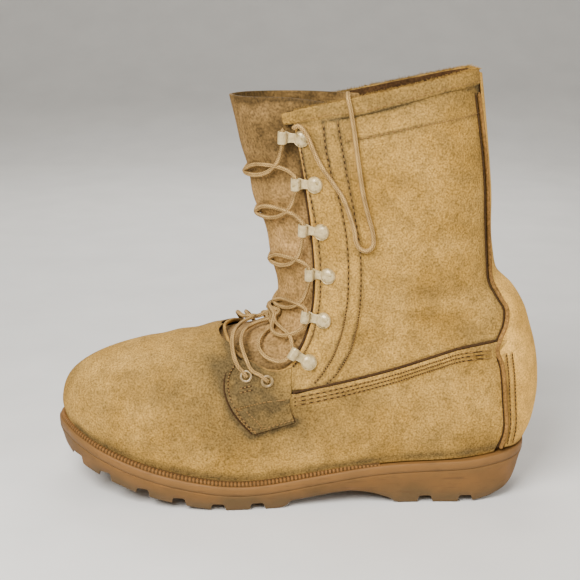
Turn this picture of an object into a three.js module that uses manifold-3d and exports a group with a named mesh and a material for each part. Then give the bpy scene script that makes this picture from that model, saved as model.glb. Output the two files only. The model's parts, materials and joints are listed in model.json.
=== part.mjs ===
// A left lace-up combat boot in rough-out tan leather, standing empty and loosely laced.
// Units are millimetres. While the boot is built, x runs from the back of the heel (0) to the
// toe, y is positive to the wearer's left, the outer side, and z is up from the floor.
// The last lines move the whole boot so that its origin is below the middle of its box.
import * as THREE from "three";
import { mergeVertices } from "three/addons/utils/BufferGeometryUtils.js";
import Module from "manifold-3d";

const wasm = await Module();
wasm.setup();

// ---------------------------------------------------------------- driving dimensions
const GAP = 0.3; // between pieces that touch in the real boot
const LEATHER = 2.4; // wall of the upper
const COUNTER = { thick: 1.7, gap: 0.45, top: 13.7 }; // heel counter laid over the upper
const TONGUE = { thick: 2.4, clear: 0.9, foot: 5.1, top: 267 }; // clear of the upper's inside
const INSOLE = 5;
const MIDSOLE = 6;
const WELT = { height: 2.4, setback: 0.8, clear: 1.5, startX: 100 };
const TREAD_INSET = 2.5; // how far the tread's outline lies inside the sole's edge
const LUG_DEPTH = 3.4;
const LACE_D = 3;
const EYELET = { outer: 4.2, inner: 2.4, height: 1.1 };
const HOOK = {
  rivetR: 5.1, rivetH: 1.8, strapL: 10.5, strapW: 6, strapT: 1.1, tubeR: 2.9, boreR: 1.9, tubeL: 7.6,
};

// Sole's outline at its top edge, from heel to toe: outer and inner half.
const SOLE_EDGE = [
  { x: 0, outer: 0, inner: 0 },
  { x: 4, outer: 17, inner: -17 },
  { x: 14, outer: 29.5, inner: -29.5 },
  { x: 36, outer: 38, inner: -38 },
  { x: 70, outer: 40, inner: -39 },
  { x: 108, outer: 42.5, inner: -37.5 },
  { x: 146, outer: 47.5, inner: -40 },
  { x: 180, outer: 53, inner: -48 },
  { x: 212, outer: 55.5, inner: -56.5 },
  { x: 243, outer: 53, inner: -59.5 },
  { x: 270, outer: 45, inner: -57.5 },
  { x: 293, outer: 32, inner: -50.5 },
  { x: 310, outer: 14, inner: -38 },
  { x: 321.5, outer: -13, inner: -13 },
];

// Side view of the sole: top of the midsole and underside of the tread. The tread touches the
// floor under the heel and again under the ball, and the toe springs up.
const SOLE_TOP = [
  [0, 35.6], [10, 34.8], [22, 33.2], [34, 31.7], [46, 30.6], [62, 29.8], [80, 29.3], [100, 28],
  [122, 25], [145, 21.8], [166, 18.8], [184, 17.2], [200, 17.6], [215, 19.6], [233, 22.6],
  [249, 25.7], [263, 28.9], [275, 32], [285, 34.8], [297, 38.4], [308, 41.6], [321.5, 44.4],
];
const TREAD_BOTTOM = [
  [0, 26], [5, 17.5], [9, 11], [15, 6.6], [24, 3], [32, 1.2], [38, 0], [89, 0], [91, 2.6],
  [97, 4.8], [104, 7.2], [111, 8.8], [120, 9.8], [133, 8.4], [147, 6.2], [159, 4.6], [161.5, 1],
  [166, 0], [207, 0], [222, 2.2], [235, 4.2], [248, 6.4], [261, 8.9], [275, 12.6], [287, 15.6],
  [299, 18.4], [308, 21.4], [316, 25.6], [321.5, 31],
];

// Stations along the outer edge where the tread is notched between two lugs.
const HEEL_NOTCHES = [42, 69];
const FORE_NOTCHES = [177.5, 203, 229, 254, 281, 303];
const NOTCH = { width: 7.5, reach: 24 };

// Rings of the upper from the feather edge (first) to the collar (last). Each is a closed curve in
// a plane across the boot, from a back point to a front point, and o and i are its outer and inner
// y at the shares of its length given in RING_SHARES. follow is how much of the sole's curve it
// has, and roll is how much higher its outer side is, per mm across.
const RING_SHARES = [0.03, 0.12, 0.3, 0.5, 0.66, 0.82, 0.94];
const RINGS = [
  { back: [3, 36], front: [316, 44, -13], follow: 1, roll: 0,
    o: [23, 34, 38, 44.5, 50, 43, 23], i: [-23, -34, -34, -38, -51, -52.5, -43] },
  { back: [-2.5, 50], front: [318, 57, -13], follow: 0.8, roll: 0,
    o: [23.5, 35.5, 41, 47.5, 52.5, 46, 26], i: [-23.5, -35.5, -37, -41.5, -54, -55.5, -46] },
  { back: [-5.2, 68], front: [313, 72.5, -12.5], follow: 0.6, roll: 0,
    o: [23, 35, 40, 46.5, 51.5, 45.5, 25], i: [-23, -35, -37, -41.5, -53, -54.5, -45] },
  { back: [-5, 82], front: [299, 84.5, -12], follow: 0.4, roll: 0,
    o: [22, 34.5, 38.5, 44, 48, 41.5, 23], i: [-22, -34.5, -36, -40.5, -50.5, -50.5, -40.5] },
  { back: [-3.8, 93], front: [276, 94.5, -10], follow: 0.25, roll: 0,
    o: [21, 33.5, 37, 41, 43.5, 36.5, 20.5], i: [-21, -33.5, -35, -39, -45.5, -44, -33.5] },
  { back: [-1.5, 104], front: [248, 101.5, -8], follow: 0.1, roll: 0,
    o: [20, 32.5, 36, 39, 40, 32, 16.5], i: [-20, -32.5, -35, -37.5, -41, -37, -25] },
  { back: [2, 115.5], front: [223, 106, -6], follow: 0, roll: 0,
    o: [19.5, 31.5, 36, 38.5, 38.5, 30.5, 16.5], i: [-19.5, -31.5, -35, -37.5, -39, -33, -20.5] },
  { back: [6, 127.5], front: [203, 110.5, -4], follow: 0, roll: 0,
    o: [19, 31, 37, 39.5, 38.5, 30, 17], i: [-19, -31, -36, -38.5, -38, -31, -19] },
  { back: [13.5, 140], front: [185, 114.5, -2], follow: 0, roll: 0,
    o: [19, 31, 38.5, 41, 39.5, 31, 18], i: [-19, -31, -37.5, -40, -39, -31, -19] },
  { back: [25.5, 153], front: [172.5, 124.5, 0], follow: 0, roll: 0,
    o: [17.5, 31, 40, 43, 41, 31.5, 18], i: [-17.5, -31, -39, -42, -40, -31.5, -18] },
  { back: [30, 174], front: [172.5, 146, 0], follow: 0, roll: 0,
    o: [18, 32, 41.5, 44.5, 42.5, 32, 18], i: [-18, -32, -40.5, -43.5, -41.5, -32, -18] },
  { back: [31.3, 203], front: [177.5, 172, 0], follow: 0, roll: 0,
    o: [19, 33, 42, 45, 43, 32, 18], i: [-19, -33, -41, -44, -42, -32, -18] },
  { back: [34.2, 231], front: [186, 200, 0], follow: 0, roll: 0.02,
    o: [19.5, 32.5, 41.5, 44.5, 42.5, 32, 18], i: [-19.5, -32.5, -40.5, -43.5, -41.5, -32, -18] },
  { back: [37.6, 258.5], front: [192.5, 226, 0], follow: 0, roll: 0.045,
    o: [19.5, 31.5, 40, 43, 41.5, 31.5, 18], i: [-19.5, -31.5, -39, -42, -40.5, -31.5, -18] },
  { back: [40.8, 285], front: [198.5, 251, 0], follow: 0, roll: 0.065,
    o: [19, 30.5, 38.5, 41.5, 40, 31, 18], i: [-19, -30.5, -37.5, -40.5, -39.5, -31, -18] },
];
const COLLAR = RINGS.length - 1;

// Side view of the throat's edge, from above the collar down the eyestay and forward to the vamp.
const THROAT_EDGE = [
  [162, 300], [157, 260], [150.5, 226], [145.5, 193], [142.5, 158], [143.5, 134], [148, 115],
  [155, 102], [162, 95.5], [169, 94], [178, 96.5], [187, 100.5], [196, 104.5], [203, 111], [205, 122],
];
// Side view of the heel counter's front edge, narrowing above the ankle into the backstay.
const COUNTER_EDGE = [
  [17, 30], [16.4, 50], [18, 71], [21, 95], [25, 106], [23.4, 113], [19.8, 122], [19.4, 132],
  [23.6, 139], [28.6, 148], [30.9, 160], [32, 178], [33, 192], [35.8, 225], [38.7, 250], [42.6, 285],
];
// Side view of the hooks' rivets, with each strap's slope in degrees and how far the hook sits off
// the leather, and of the eyelets.
const HOOKS = [
  { x: 152, z: 245.5, turn: 2, lift: 0.3 }, { x: 143.8, z: 217, turn: 0, lift: 0.3 },
  { x: 139.3, z: 186.8, turn: 2, lift: 0.3 }, { x: 135, z: 158, turn: 1, lift: 0.3 },
  { x: 137.4, z: 127.5, turn: 8, lift: 0.9 }, { x: 147.2, z: 100.5, turn: 31, lift: 0.7 },
];
const EYELETS = [{ x: 174, z: 88.5 }, { x: 187.5, z: 91 }];
const EYELET_LIFT = 0.4;
// Height at which each crossing of the lace passes the tongue's middle, from the collar down, how
// far its centre stands off the line of the upper there, and how far it sags below its hooks.
const CROSSINGS = [
  { z: 217.5, out: 0.8, sag: 0 }, { z: 190.5, out: 0.8, sag: 0 }, { z: 159, out: 0.8, sag: 0 },
  { z: 130, out: 2, sag: 0 }, { z: 118.5, out: 1.6, sag: 0 }, { z: 113.4, out: 2, sag: 1.6 },
  { z: 111, out: 3, sag: 0 },
];

// ---------------------------------------------------------------- small helpers
// Straight-line interpolation in a table of [key, value] rows.
function lookUp(table, key) {
  const last = table.length - 1;
  if (key <= table[0][0]) return table[0][1];
  if (key >= table[last][0]) return table[last][1];
  const i = table.findIndex((row) => row[0] > key);
  const t = (key - table[i - 1][0]) / (table[i][0] - table[i - 1][0]);
  return THREE.MathUtils.lerp(table[i - 1][1], table[i][1], t);
}

// The same, smoothed by averaging over a short stretch either side of the key.
function smoothLookUp(table, key, reach) {
  const steps = 6;
  let sum = 0;
  for (let n = -steps; n <= steps; n++) sum += lookUp(table, key + (n / steps) * reach);
  return sum / (2 * steps + 1);
}

// Uniform Catmull-Rom value at position t in a list of numbers, straight beyond either end.
function spline(values, t) {
  const last = values.length - 1;
  if (t > last) return values[last] + (t - last) * (values[last] - values[last - 1]);
  const n = Math.min(Math.max(Math.floor(t), 0), last - 1);
  const f = t - n;
  const at = (m) => {
    if (m < 0) return 2 * values[0] - values[1];
    if (m > last) return 2 * values[last] - values[last - 1];
    return values[m];
  };
  const [a, b, c, d] = [at(n - 1), at(n), at(n + 1), at(n + 2)];
  const [square, cube] = [2 * a - 5 * b + 4 * c - d, 3 * b - a - 3 * c + d];
  return 0.5 * (2 * b + (c - a) * f + square * f ** 2 + cube * f ** 3);
}

const soleTop = (x) => smoothLookUp(SOLE_TOP, x, 12);
const treadBottom = (x) => lookUp(TREAD_BOTTOM, x);

// ---------------------------------------------------------------- solids and booleans
// A BufferGeometry from vertices and triangles.
function geometryOf(vertices, triangles) {
  const geometry = new THREE.BufferGeometry();
  geometry.setAttribute("position", new THREE.Float32BufferAttribute(vertices.flat(), 3));
  geometry.setIndex(triangles.flat());
  return geometry;
}

// A manifold-3d solid from any closed geometry.
function solidOf(geometry) {
  const bare = geometry.clone();
  bare.deleteAttribute("normal");
  bare.deleteAttribute("uv");
  const merged = mergeVertices(bare, 1e-4);
  return new wasm.Manifold(
    new wasm.Mesh({
      numProp: 3,
      vertProperties: merged.attributes.position.array,
      triVerts: new Uint32Array(merged.index.array),
    }),
  );
}

// The geometry of a manifold-3d solid.
function geometryFrom(solid) {
  const mesh = solid.getMesh();
  const geometry = new THREE.BufferGeometry();
  geometry.setAttribute("position", new THREE.BufferAttribute(new Float32Array(mesh.vertProperties), 3));
  geometry.setIndex(new THREE.BufferAttribute(new Uint32Array(mesh.triVerts), 1));
  return geometry;
}

// A prism across the boot from a closed outline in the side view, half a width to either side.
function sidePrism(points, halfWidth) {
  const shape = new THREE.Shape(points.map(([x, z]) => new THREE.Vector2(x, z)));
  const geometry = new THREE.ExtrudeGeometry(shape, { depth: 2 * halfWidth, bevelEnabled: false });
  geometry.rotateX(Math.PI / 2);
  geometry.translate(0, halfWidth, 0);
  return solidOf(geometry);
}

// A closed box between two corners, turned about its own vertical middle line.
function block(low, high, turn = 0) {
  const size = high.map((v, n) => v - low[n]);
  const geometry = new THREE.BoxGeometry(...size);
  geometry.rotateZ(THREE.MathUtils.degToRad(turn));
  geometry.translate(...low.map((v, n) => v + size[n] / 2));
  return solidOf(geometry);
}

// A round bar along a curve, with flat ends.
function tube(points, diameter, steps, sides) {
  const section = new THREE.Shape();
  for (let n = 0; n < sides; n++) {
    const angle = (2 * Math.PI * n) / sides;
    const [u, v] = [Math.cos(angle) * diameter / 2, Math.sin(angle) * diameter / 2];
    if (n) section.lineTo(u, v);
    else section.moveTo(u, v);
  }
  const extrudePath = new THREE.CatmullRomCurve3(points, false, "centripetal");
  return new THREE.ExtrudeGeometry(section, { steps, extrudePath, bevelEnabled: false });
}

// A closed shell from two grids of points of the same size: rows x columns. With wrap, the columns
// close on themselves, and without it the shell has two side rims as well as its end rims.
function shell(outer, inner, wrap) {
  const rows = outer.length;
  const cols = outer[0].length;
  const vertices = [...outer.flat(), ...inner.flat()].map((p) => p.toArray());
  const at = (side, r, c) => side * rows * cols + r * cols + (c % cols);
  const triangles = [];
  const quad = (a, b, c, d) => triangles.push([a, b, c], [a, c, d]);
  const spans = wrap ? cols : cols - 1;
  for (let c = 0; c < spans; c++) {
    for (let r = 0; r < rows - 1; r++) {
      quad(at(0, r, c), at(0, r, c + 1), at(0, r + 1, c + 1), at(0, r + 1, c));
      quad(at(1, r, c), at(1, r + 1, c), at(1, r + 1, c + 1), at(1, r, c + 1));
    }
    quad(at(0, 0, c), at(1, 0, c), at(1, 0, c + 1), at(0, 0, c + 1));
    quad(at(0, rows - 1, c), at(0, rows - 1, c + 1), at(1, rows - 1, c + 1), at(1, rows - 1, c));
  }
  for (let r = 0; r < rows - 1 && !wrap; r++) {
    quad(at(0, r, 0), at(0, r + 1, 0), at(1, r + 1, 0), at(1, r, 0));
    quad(at(0, r, cols - 1), at(1, r, cols - 1), at(1, r + 1, cols - 1), at(0, r + 1, cols - 1));
  }
  const geometry = geometryOf(vertices, triangles);
  return solidOf(geometry).volume() < 0
    ? geometryOf(vertices, triangles.map(([a, b, c]) => [a, c, b]))
    : geometry;
}

// ---------------------------------------------------------------- the upper's own surface
// The ring at a level, which need not be whole, as a closed curve. Around it, 0 is the back, half
// way round is the front, and the outer side comes first.
const ringCache = new Map();
function ring(level) {
  if (ringCache.has(level)) return ringCache.get(level);
  const take = (pick) => spline(RINGS.map(pick), level);
  const back = [take((r) => r.back[0]), take((r) => r.back[1])];
  const front = [take((r) => r.front[0]), take((r) => r.front[1]), take((r) => r.front[2])];
  const follow = Math.max(take((r) => r.follow), 0);
  const roll = take((r) => r.roll);
  const point = (share, y) => {
    const x = THREE.MathUtils.lerp(back[0], front[0], share);
    const chord = THREE.MathUtils.lerp(soleTop(back[0]), soleTop(front[0]), share);
    const z = THREE.MathUtils.lerp(back[1], front[1], share) + follow * (soleTop(x) - chord);
    return new THREE.Vector3(x, y, z + roll * y);
  };
  const outer = RING_SHARES.map((share, n) => point(share, take((r) => r.o[n])));
  const inner = RING_SHARES.map((share, n) => point(share, take((r) => r.i[n])));
  const points = [point(0, 0), ...outer, point(1, front[2]), ...inner.reverse()];
  const curve = new THREE.CatmullRomCurve3(points, true, "centripetal");
  ringCache.set(level, curve);
  return curve;
}

// Point on the upper's outer face. around runs from 0 at the back to 1 at the front, along the
// outer side where side is 1 and the inner side where it is -1.
const onRing = (level, around, side) => ring(level).getPoint(side > 0 ? around / 2 : 1 - around / 2);

// The same point moved out along the surface's normal, with the directions found there.
function onUpper(level, around, side, out = 0) {
  const d = 0.02;
  const share = side > 0 ? around / 2 : 1 - around / 2;
  const at = (l, s) => ring(l).getPoint(((s % 1) + 1) % 1);
  const along = at(level, share + d / 4).sub(at(level, share - d / 4)).normalize();
  const up = at(level + d, share).sub(at(Math.max(level - d, 0), share)).normalize();
  const normal = along.clone().cross(up).normalize().negate();
  return { point: at(level, share).addScaledVector(normal, out), normal };
}

// Level and share around at which the upper's side passes a place in the side view.
function findOnSide(x, z, side) {
  let best = { distance: Infinity };
  const step = 0.25;
  for (let level = 0; level <= COLLAR; level += step) {
    for (let around = 0.1; around < 0.99; around += 0.02) {
      const p = onRing(level, around, side);
      const distance = Math.hypot(p.x - x, p.z - z);
      if (distance < best.distance) best = { distance, level, around };
    }
  }
  let { level, around } = best;
  const d = 1e-3;
  for (let n = 0; n < 8; n++) {
    const p = onRing(level, around, side);
    const pl = onRing(level + d, around, side);
    const pa = onRing(level, around + d, side);
    const [a, b, c, e] = [(pl.x - p.x) / d, (pa.x - p.x) / d, (pl.z - p.z) / d, (pa.z - p.z) / d];
    const det = a * e - b * c;
    const [dx, dz] = [x - p.x, z - p.z];
    level = THREE.MathUtils.clamp(level + (e * dx - b * dz) / det, 0, COLLAR);
    around = THREE.MathUtils.clamp(around + (a * dz - c * dx) / det, 0.02, 0.98);
  }
  return { level, around };
}

// Grid of points on the upper: levels x places around the whole ring, moved out along the normal.
// No point goes lower than a gap above the midsole.
function wholeGrid(levels, count, out) {
  return levels.map((level) =>
    Array.from({ length: count }, (_, n) => {
      const share = (2 * n) / count;
      const { point } = onUpper(level, share <= 1 ? share : 2 - share, share <= 1 ? 1 : -1, out);
      point.z = Math.max(point.z, soleTop(point.x) + 1.2 * GAP);
      return point;
    }),
  );
}

// Evenly spaced values from one to another, in a number of steps.
const range = (from, to, steps) =>
  Array.from({ length: steps + 1 }, (_, n) => THREE.MathUtils.lerp(from, to, n / steps));

// ---------------------------------------------------------------- the leather pieces
// The throat as a prism across the boot, in front of and above the throat's edge.
function throatCutter() {
  const edge = new THREE.SplineCurve(THROAT_EDGE.map(([x, z]) => new THREE.Vector2(x, z)));
  const points = edge.getPoints(40).map((p) => [p.x, p.y]);
  return sidePrism([...points, [250, 118], [250, 300]], 90);
}

// Levels at which the upper and what lies against it are drawn.
const DRAWN = [
  0, 0.5, 1, 1.5, 2, 2.7, 3.4, 4.1, 4.8, 5.5, 6.2, 6.9, 7.5, 8, 8.4, 8.8, 9.3, 10, 11, 12.4, COLLAR,
];

// Vamp, quarters and shaft as one hollow wall, open underneath, at the throat and at the collar.
function makeUpper() {
  const around = 40;
  const wall = solidOf(shell(wholeGrid(DRAWN, around, 0), wholeGrid(DRAWN, around, -LEATHER), true));
  return geometryFrom(wall.subtract(throatCutter()));
}

// Share around at which a level passes the heel counter's front edge.
function counterReach(level, side) {
  const edge = COUNTER_EDGE.map(([x, z]) => [z, x]);
  let [low, high] = [0, 0.6];
  for (let n = 0; n < 24; n++) {
    const middle = (low + high) / 2;
    const p = onRing(level, middle, side);
    if (p.x < lookUp(edge, p.z)) low = middle;
    else high = middle;
  }
  return low;
}

// Heel counter and backstay: one band over the back of the upper, wide at the heel and narrow
// above the ankle, cut between two offsets of the upper's own surface.
function makeHeelCounter() {
  const levels = [0.12, ...DRAWN.slice(1, -1), COUNTER.top];
  const across = range(-1, 1, 12);
  const grid = (out) =>
    levels.map((level) =>
      across.map((share) => {
        const side = share < 0 ? -1 : 1;
        return onUpper(level, Math.abs(share) * counterReach(level, side), side, out).point;
      }),
    );
  return shell(grid(COUNTER.gap + COUNTER.thick), grid(COUNTER.gap), false);
}

// Level at which a place around the upper reaches a height, at or beyond the collar.
function levelAtHeight(z, around, side) {
  let [low, high] = [8, COLLAR + 2];
  for (let n = 0; n < 24; n++) {
    const middle = (low + high) / 2;
    if (onRing(middle, around, side).z < z) low = middle;
    else high = middle;
  }
  return low;
}

// Tongue: a curved sheet inside the throat, from under the vamp to above the collar.
function makeTongue() {
  const rows = range(0, 1, 18);
  const across = range(-1, 1, 12);
  const grid = (depth) =>
    rows.map((row) =>
      across.map((share) => {
        const side = share < 0 ? -1 : 1;
        const lower = THREE.MathUtils.lerp(TONGUE.foot, COLLAR, row);
        const around = 1 - Math.abs(share) * lookUp([[TONGUE.foot, 0.34], [8, 0.5], [COLLAR, 0.5]], lower);
        const top = levelAtHeight(TONGUE.top - 3 * share * share, around, side);
        return onUpper(THREE.MathUtils.lerp(TONGUE.foot, top, row), around, side, -depth).point;
      }),
    );
  const depth = LEATHER + TONGUE.clear;
  return shell(grid(depth), grid(depth + TONGUE.thick), false);
}

// ---------------------------------------------------------------- the sole
// Sole's edge as ribs from the heel to the toe, each an outer and an inner point, moved inwards.
function soleRibs(inset, count = 44) {
  const half = SOLE_EDGE.slice(1, -1);
  const controls = [
    SOLE_EDGE[0], ...half.map(({ x, outer }) => ({ x, y: outer })),
    SOLE_EDGE.at(-1), ...half.map(({ x, inner }) => ({ x, y: inner })).reverse(),
  ].map(({ x, y, outer }) => new THREE.Vector3(x, y ?? outer, 0));
  const curve = new THREE.CatmullRomCurve3(controls, true, "centripetal");
  const at = (share) => {
    const t = ((share % 1) + 1) % 1;
    const tangent = curve.getPoint((t + 1e-3) % 1).sub(curve.getPoint((t - 1e-3 + 1) % 1)).normalize();
    return curve.getPoint(t).add(new THREE.Vector3(-tangent.y, tangent.x, 0).multiplyScalar(-inset));
  };
  return range(0, 0.5, count).map((share) => ({ outer: at(share), inner: at(1 - share) }));
}

// A slab that follows the sole's edge, between two heights given by functions of x.
function soleSlab(lowRibs, highRibs, lowZ, highZ) {
  const last = lowRibs.length - 1;
  const vertices = [];
  const add = (p, z) => vertices.push([p.x, p.y, z(p.x)]) - 1;
  const row = (ribs, z) =>
    ribs.map(({ outer, inner }, n) => {
      const o = add(outer, z);
      return n === 0 || n === last ? [o, o] : [o, add(inner, z)];
    });
  const low = row(lowRibs, lowZ);
  const high = row(highRibs, highZ);
  const triangles = [];
  const quad = (a, b, c, d) => triangles.push([a, b, c], [a, c, d]);
  for (let n = 0; n < last; n++) {
    const [[a, b], [c, d]] = [high[n], high[n + 1]];
    const [[e, f], [g, h]] = [low[n], low[n + 1]];
    quad(a, b, d, c);
    quad(e, g, h, f);
    quad(a, c, g, e);
    quad(b, f, h, d);
  }
  const real = triangles.filter(([a, b, c]) => a !== b && b !== c && c !== a);
  const geometry = geometryOf(vertices, real);
  return solidOf(geometry).volume() < 0
    ? solidOf(geometryOf(vertices, real.map(([a, b, c]) => [a, c, b])))
    : solidOf(geometry);
}

// Grooves that part the tread into lugs: notches in from both edges, two long channels and bars
// across the middle.
function treadGrooves() {
  const cuts = [];
  const groove = (x, y0, y1, width, turn) => {
    const top = treadBottom(x) + LUG_DEPTH;
    cuts.push(block([x - width / 2, Math.min(y0, y1), -10], [x + width / 2, Math.max(y0, y1), top], turn));
  };
  const edgeAt = (x, key) => lookUp(SOLE_EDGE.map((row) => [row.x, row[key]]), x);
  for (const x of [...HEEL_NOTCHES, ...FORE_NOTCHES]) {
    const [outer, inner] = [edgeAt(x, "outer"), edgeAt(x, "inner")];
    groove(x, outer + 8, outer - NOTCH.reach, NOTCH.width, 0);
    groove(x, inner - 8, inner + NOTCH.reach, NOTCH.width, 0);
  }
  const middles = FORE_NOTCHES.slice(0, -1).map((x, n) => (x + FORE_NOTCHES[n + 1]) / 2);
  for (const x of middles) groove(x, -16, 14, NOTCH.width * 0.7, 12);
  return cuts;
}

function makeOutsole() {
  const top = (x) => soleTop(x) - MIDSOLE - GAP;
  let tread = soleSlab(soleRibs(TREAD_INSET), soleRibs(0), treadBottom, top);
  for (const cut of treadGrooves()) tread = tread.subtract(cut);
  return geometryFrom(tread);
}

function makeMidsole() {
  return geometryFrom(soleSlab(soleRibs(0), soleRibs(0.4), (x) => soleTop(x) - MIDSOLE, soleTop));
}

// Foot of the upper as ribs like the sole's, moved out of the feather edge by a distance.
function featherRibs(out, count = 32) {
  return range(0, 1, count).map((around) => ({
    outer: onUpper(0, around, 1, 0).point.add(flatNormal(around, 1).multiplyScalar(out)),
    inner: onUpper(0, around, -1, 0).point.add(flatNormal(around, -1).multiplyScalar(out)),
  }));
}

// Direction straight out of the feather edge, flat in the sole's plan.
function flatNormal(around, side) {
  const a = onRing(0, Math.max(around - 0.004, 0), side);
  const b = onRing(0, Math.min(around + 0.004, 1), side);
  if (around === 0) return new THREE.Vector3(-1, 0, 0);
  if (around === 1) return new THREE.Vector3(1, 0, 0);
  const t = b.sub(a).setZ(0).normalize();
  return new THREE.Vector3(-t.y, t.x, 0).multiplyScalar(side);
}

// Welt: a strip on the midsole's rim, round the forefoot and as far back as the waist.
function makeWelt() {
  const low = (x) => soleTop(x) + GAP;
  const high = (x) => soleTop(x) + GAP + WELT.height;
  const strip = soleSlab(soleRibs(WELT.setback), soleRibs(WELT.setback + 0.5), low, high);
  const foot = featherRibs(WELT.clear);
  const hole = soleSlab(foot, foot, (x) => low(x) - 5, (x) => high(x) + 5);
  return geometryFrom(strip.subtract(hole).subtract(block([-20, -90, 0], [WELT.startX, 90, 90])));
}

// Insole: a loose footbed on the midsole, inside the upper's wall.
function makeInsole() {
  const foot = featherRibs(-LEATHER - 1.2);
  return geometryFrom(soleSlab(foot, foot, (x) => soleTop(x) + GAP, (x) => soleTop(x) + GAP + INSOLE));
}

// ---------------------------------------------------------------- hooks and eyelets
// Frame on the upper at a place in the side view: its x slopes forward at the given angle, its z
// points outwards.
function frameOnUpper(x, z, side, out, turn = 0) {
  const { level, around } = findOnSide(x, z, side);
  const spot = onUpper(level, around, side, out);
  const angle = THREE.MathUtils.degToRad(turn);
  const forward = new THREE.Vector3(Math.cos(angle), 0, Math.sin(angle));
  forward.addScaledVector(spot.normal, -forward.dot(spot.normal)).normalize();
  const across = spot.normal.clone().cross(forward);
  return new THREE.Matrix4().makeBasis(forward, across, spot.normal).setPosition(spot.point);
}

// A lacing hook: a domed rivet, a strap towards the throat and a short tube that holds the lace.
function hookGeometry() {
  const { rivetR, rivetH, strapL, strapW, strapT, tubeR, boreR, tubeL } = HOOK;
  const profile = [[0, 0], [rivetR, 0], [rivetR, rivetH * 0.45], [rivetR * 0.6, rivetH * 0.9], [0, rivetH]];
  const rivet = new THREE.LatheGeometry(profile.map(([r, h]) => new THREE.Vector2(r, h)), 9);
  rivet.rotateX(Math.PI / 2);
  const strap = new THREE.BoxGeometry(strapL, strapW, strapT);
  strap.translate(strapL / 2, 0, strapT / 2);
  const ringShape = new THREE.Shape().absarc(0, 0, tubeR, 0, 2 * Math.PI);
  ringShape.holes.push(new THREE.Path().absarc(0, 0, boreR, 0, 2 * Math.PI, true));
  const settings = { depth: tubeL, bevelEnabled: false, curveSegments: 3 };
  const loop = new THREE.ExtrudeGeometry(ringShape, settings);
  loop.rotateX(Math.PI / 2);
  loop.translate(strapL + boreR, tubeL / 2, tubeR - 0.3);
  return geometryFrom(solidOf(rivet).add(solidOf(strap)).add(solidOf(loop)));
}

function eyeletGeometry() {
  const shape = new THREE.Shape().absarc(0, 0, EYELET.outer, 0, 2 * Math.PI);
  shape.holes.push(new THREE.Path().absarc(0, 0, EYELET.inner, 0, 2 * Math.PI, true));
  const settings = { depth: EYELET.height, bevelEnabled: false, curveSegments: 5 };
  return geometryFrom(solidOf(new THREE.ExtrudeGeometry(shape, settings)));
}

// ---------------------------------------------------------------- laces
// Where the lace meets each row on one side, from the collar down. enter is the place from which
// it goes up to the next crossing and leave the place from which it goes down.
function laceRows(side) {
  const spotAt = (matrix, local) => {
    const point = new THREE.Vector3(...local).applyMatrix4(matrix);
    const { level, around } = findOnSide(point.x, point.z, side);
    return { point, level, around, side };
  };
  const hooks = HOOKS.map(({ x, z, turn, lift }) => {
    const matrix = frameOnUpper(x, z, side, lift, turn);
    const [reach, height, end] = [HOOK.strapL + HOOK.boreR, HOOK.tubeR - 0.3, HOOK.tubeL / 2];
    return {
      enter: spotAt(matrix, [reach + 0.8, -side * (end + 2), height]),
      leave: spotAt(matrix, [reach + 0.3, side * (end + 1.6), height]),
    };
  });
  // A lace comes out of an eyelet to go up, and goes in under the throat's edge to go down.
  const eyelets = EYELETS.map(({ x, z }) => ({
    enter: spotAt(frameOnUpper(x, z, side, 0), [0.5, -side * 1.5, EYELET.height + LACE_D / 2 + 1]),
    leave: spotAt(frameOnUpper(x, z + 12.5, side, 0), [0, 0, 0.2]),
  }));
  return [...hooks, ...eyelets];
}

// Lace from a place on one side to a place on the other, over the tongue's front.
function laceStrand(from, to, { z, out, sag }) {
  const middle = levelAtFront(z);
  const half = (spot, dip) => {
    const off = spot.point.distanceTo(onUpper(spot.level, spot.around, spot.side).point);
    return [0.25, 0.5, 0.75].map((t) => {
      const rise = Math.sin((t * Math.PI) / 2);
      const level = THREE.MathUtils.lerp(spot.level, middle, rise) - dip * Math.sin(t * Math.PI);
      const around = THREE.MathUtils.lerp(spot.around, 1, t ** 1.5);
      return onUpper(level, around, spot.side, THREE.MathUtils.lerp(off, out, t)).point;
    });
  };
  const front = onUpper(middle, 1, 1, out).point;
  const points = [from.point, ...half(from, sag), front, ...half(to, 0).reverse(), to.point];
  return tube(points, LACE_D, 9, 6);
}

// Level at which the front of the rings has a height.
function levelAtFront(z) {
  let [low, high] = [5, COLLAR];
  for (let n = 0; n < 24; n++) {
    const middle = (low + high) / 2;
    if (onRing(middle, 1, 1).z < z) low = middle;
    else high = middle;
  }
  return low;
}

// One crossing of the lace between two rows: two strands joined where they pass each other.
function laceCrossing(outer, inner, row) {
  const down = solidOf(laceStrand(outer[row].leave, inner[row + 1].enter, CROSSINGS[row]));
  const up = solidOf(laceStrand(inner[row].leave, outer[row + 1].enter, CROSSINGS[row]));
  return down.add(up);
}

// The crossings as solids to be named: the last two tangle and are one.
function laceCrossings() {
  const [outer, inner] = [laceRows(1), laceRows(-1)];
  const all = CROSSINGS.map((_, row) => laceCrossing(outer, inner, row));
  return [...all.slice(0, -2), all.at(-2).add(all.at(-1))].map(geometryFrom);
}

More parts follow.
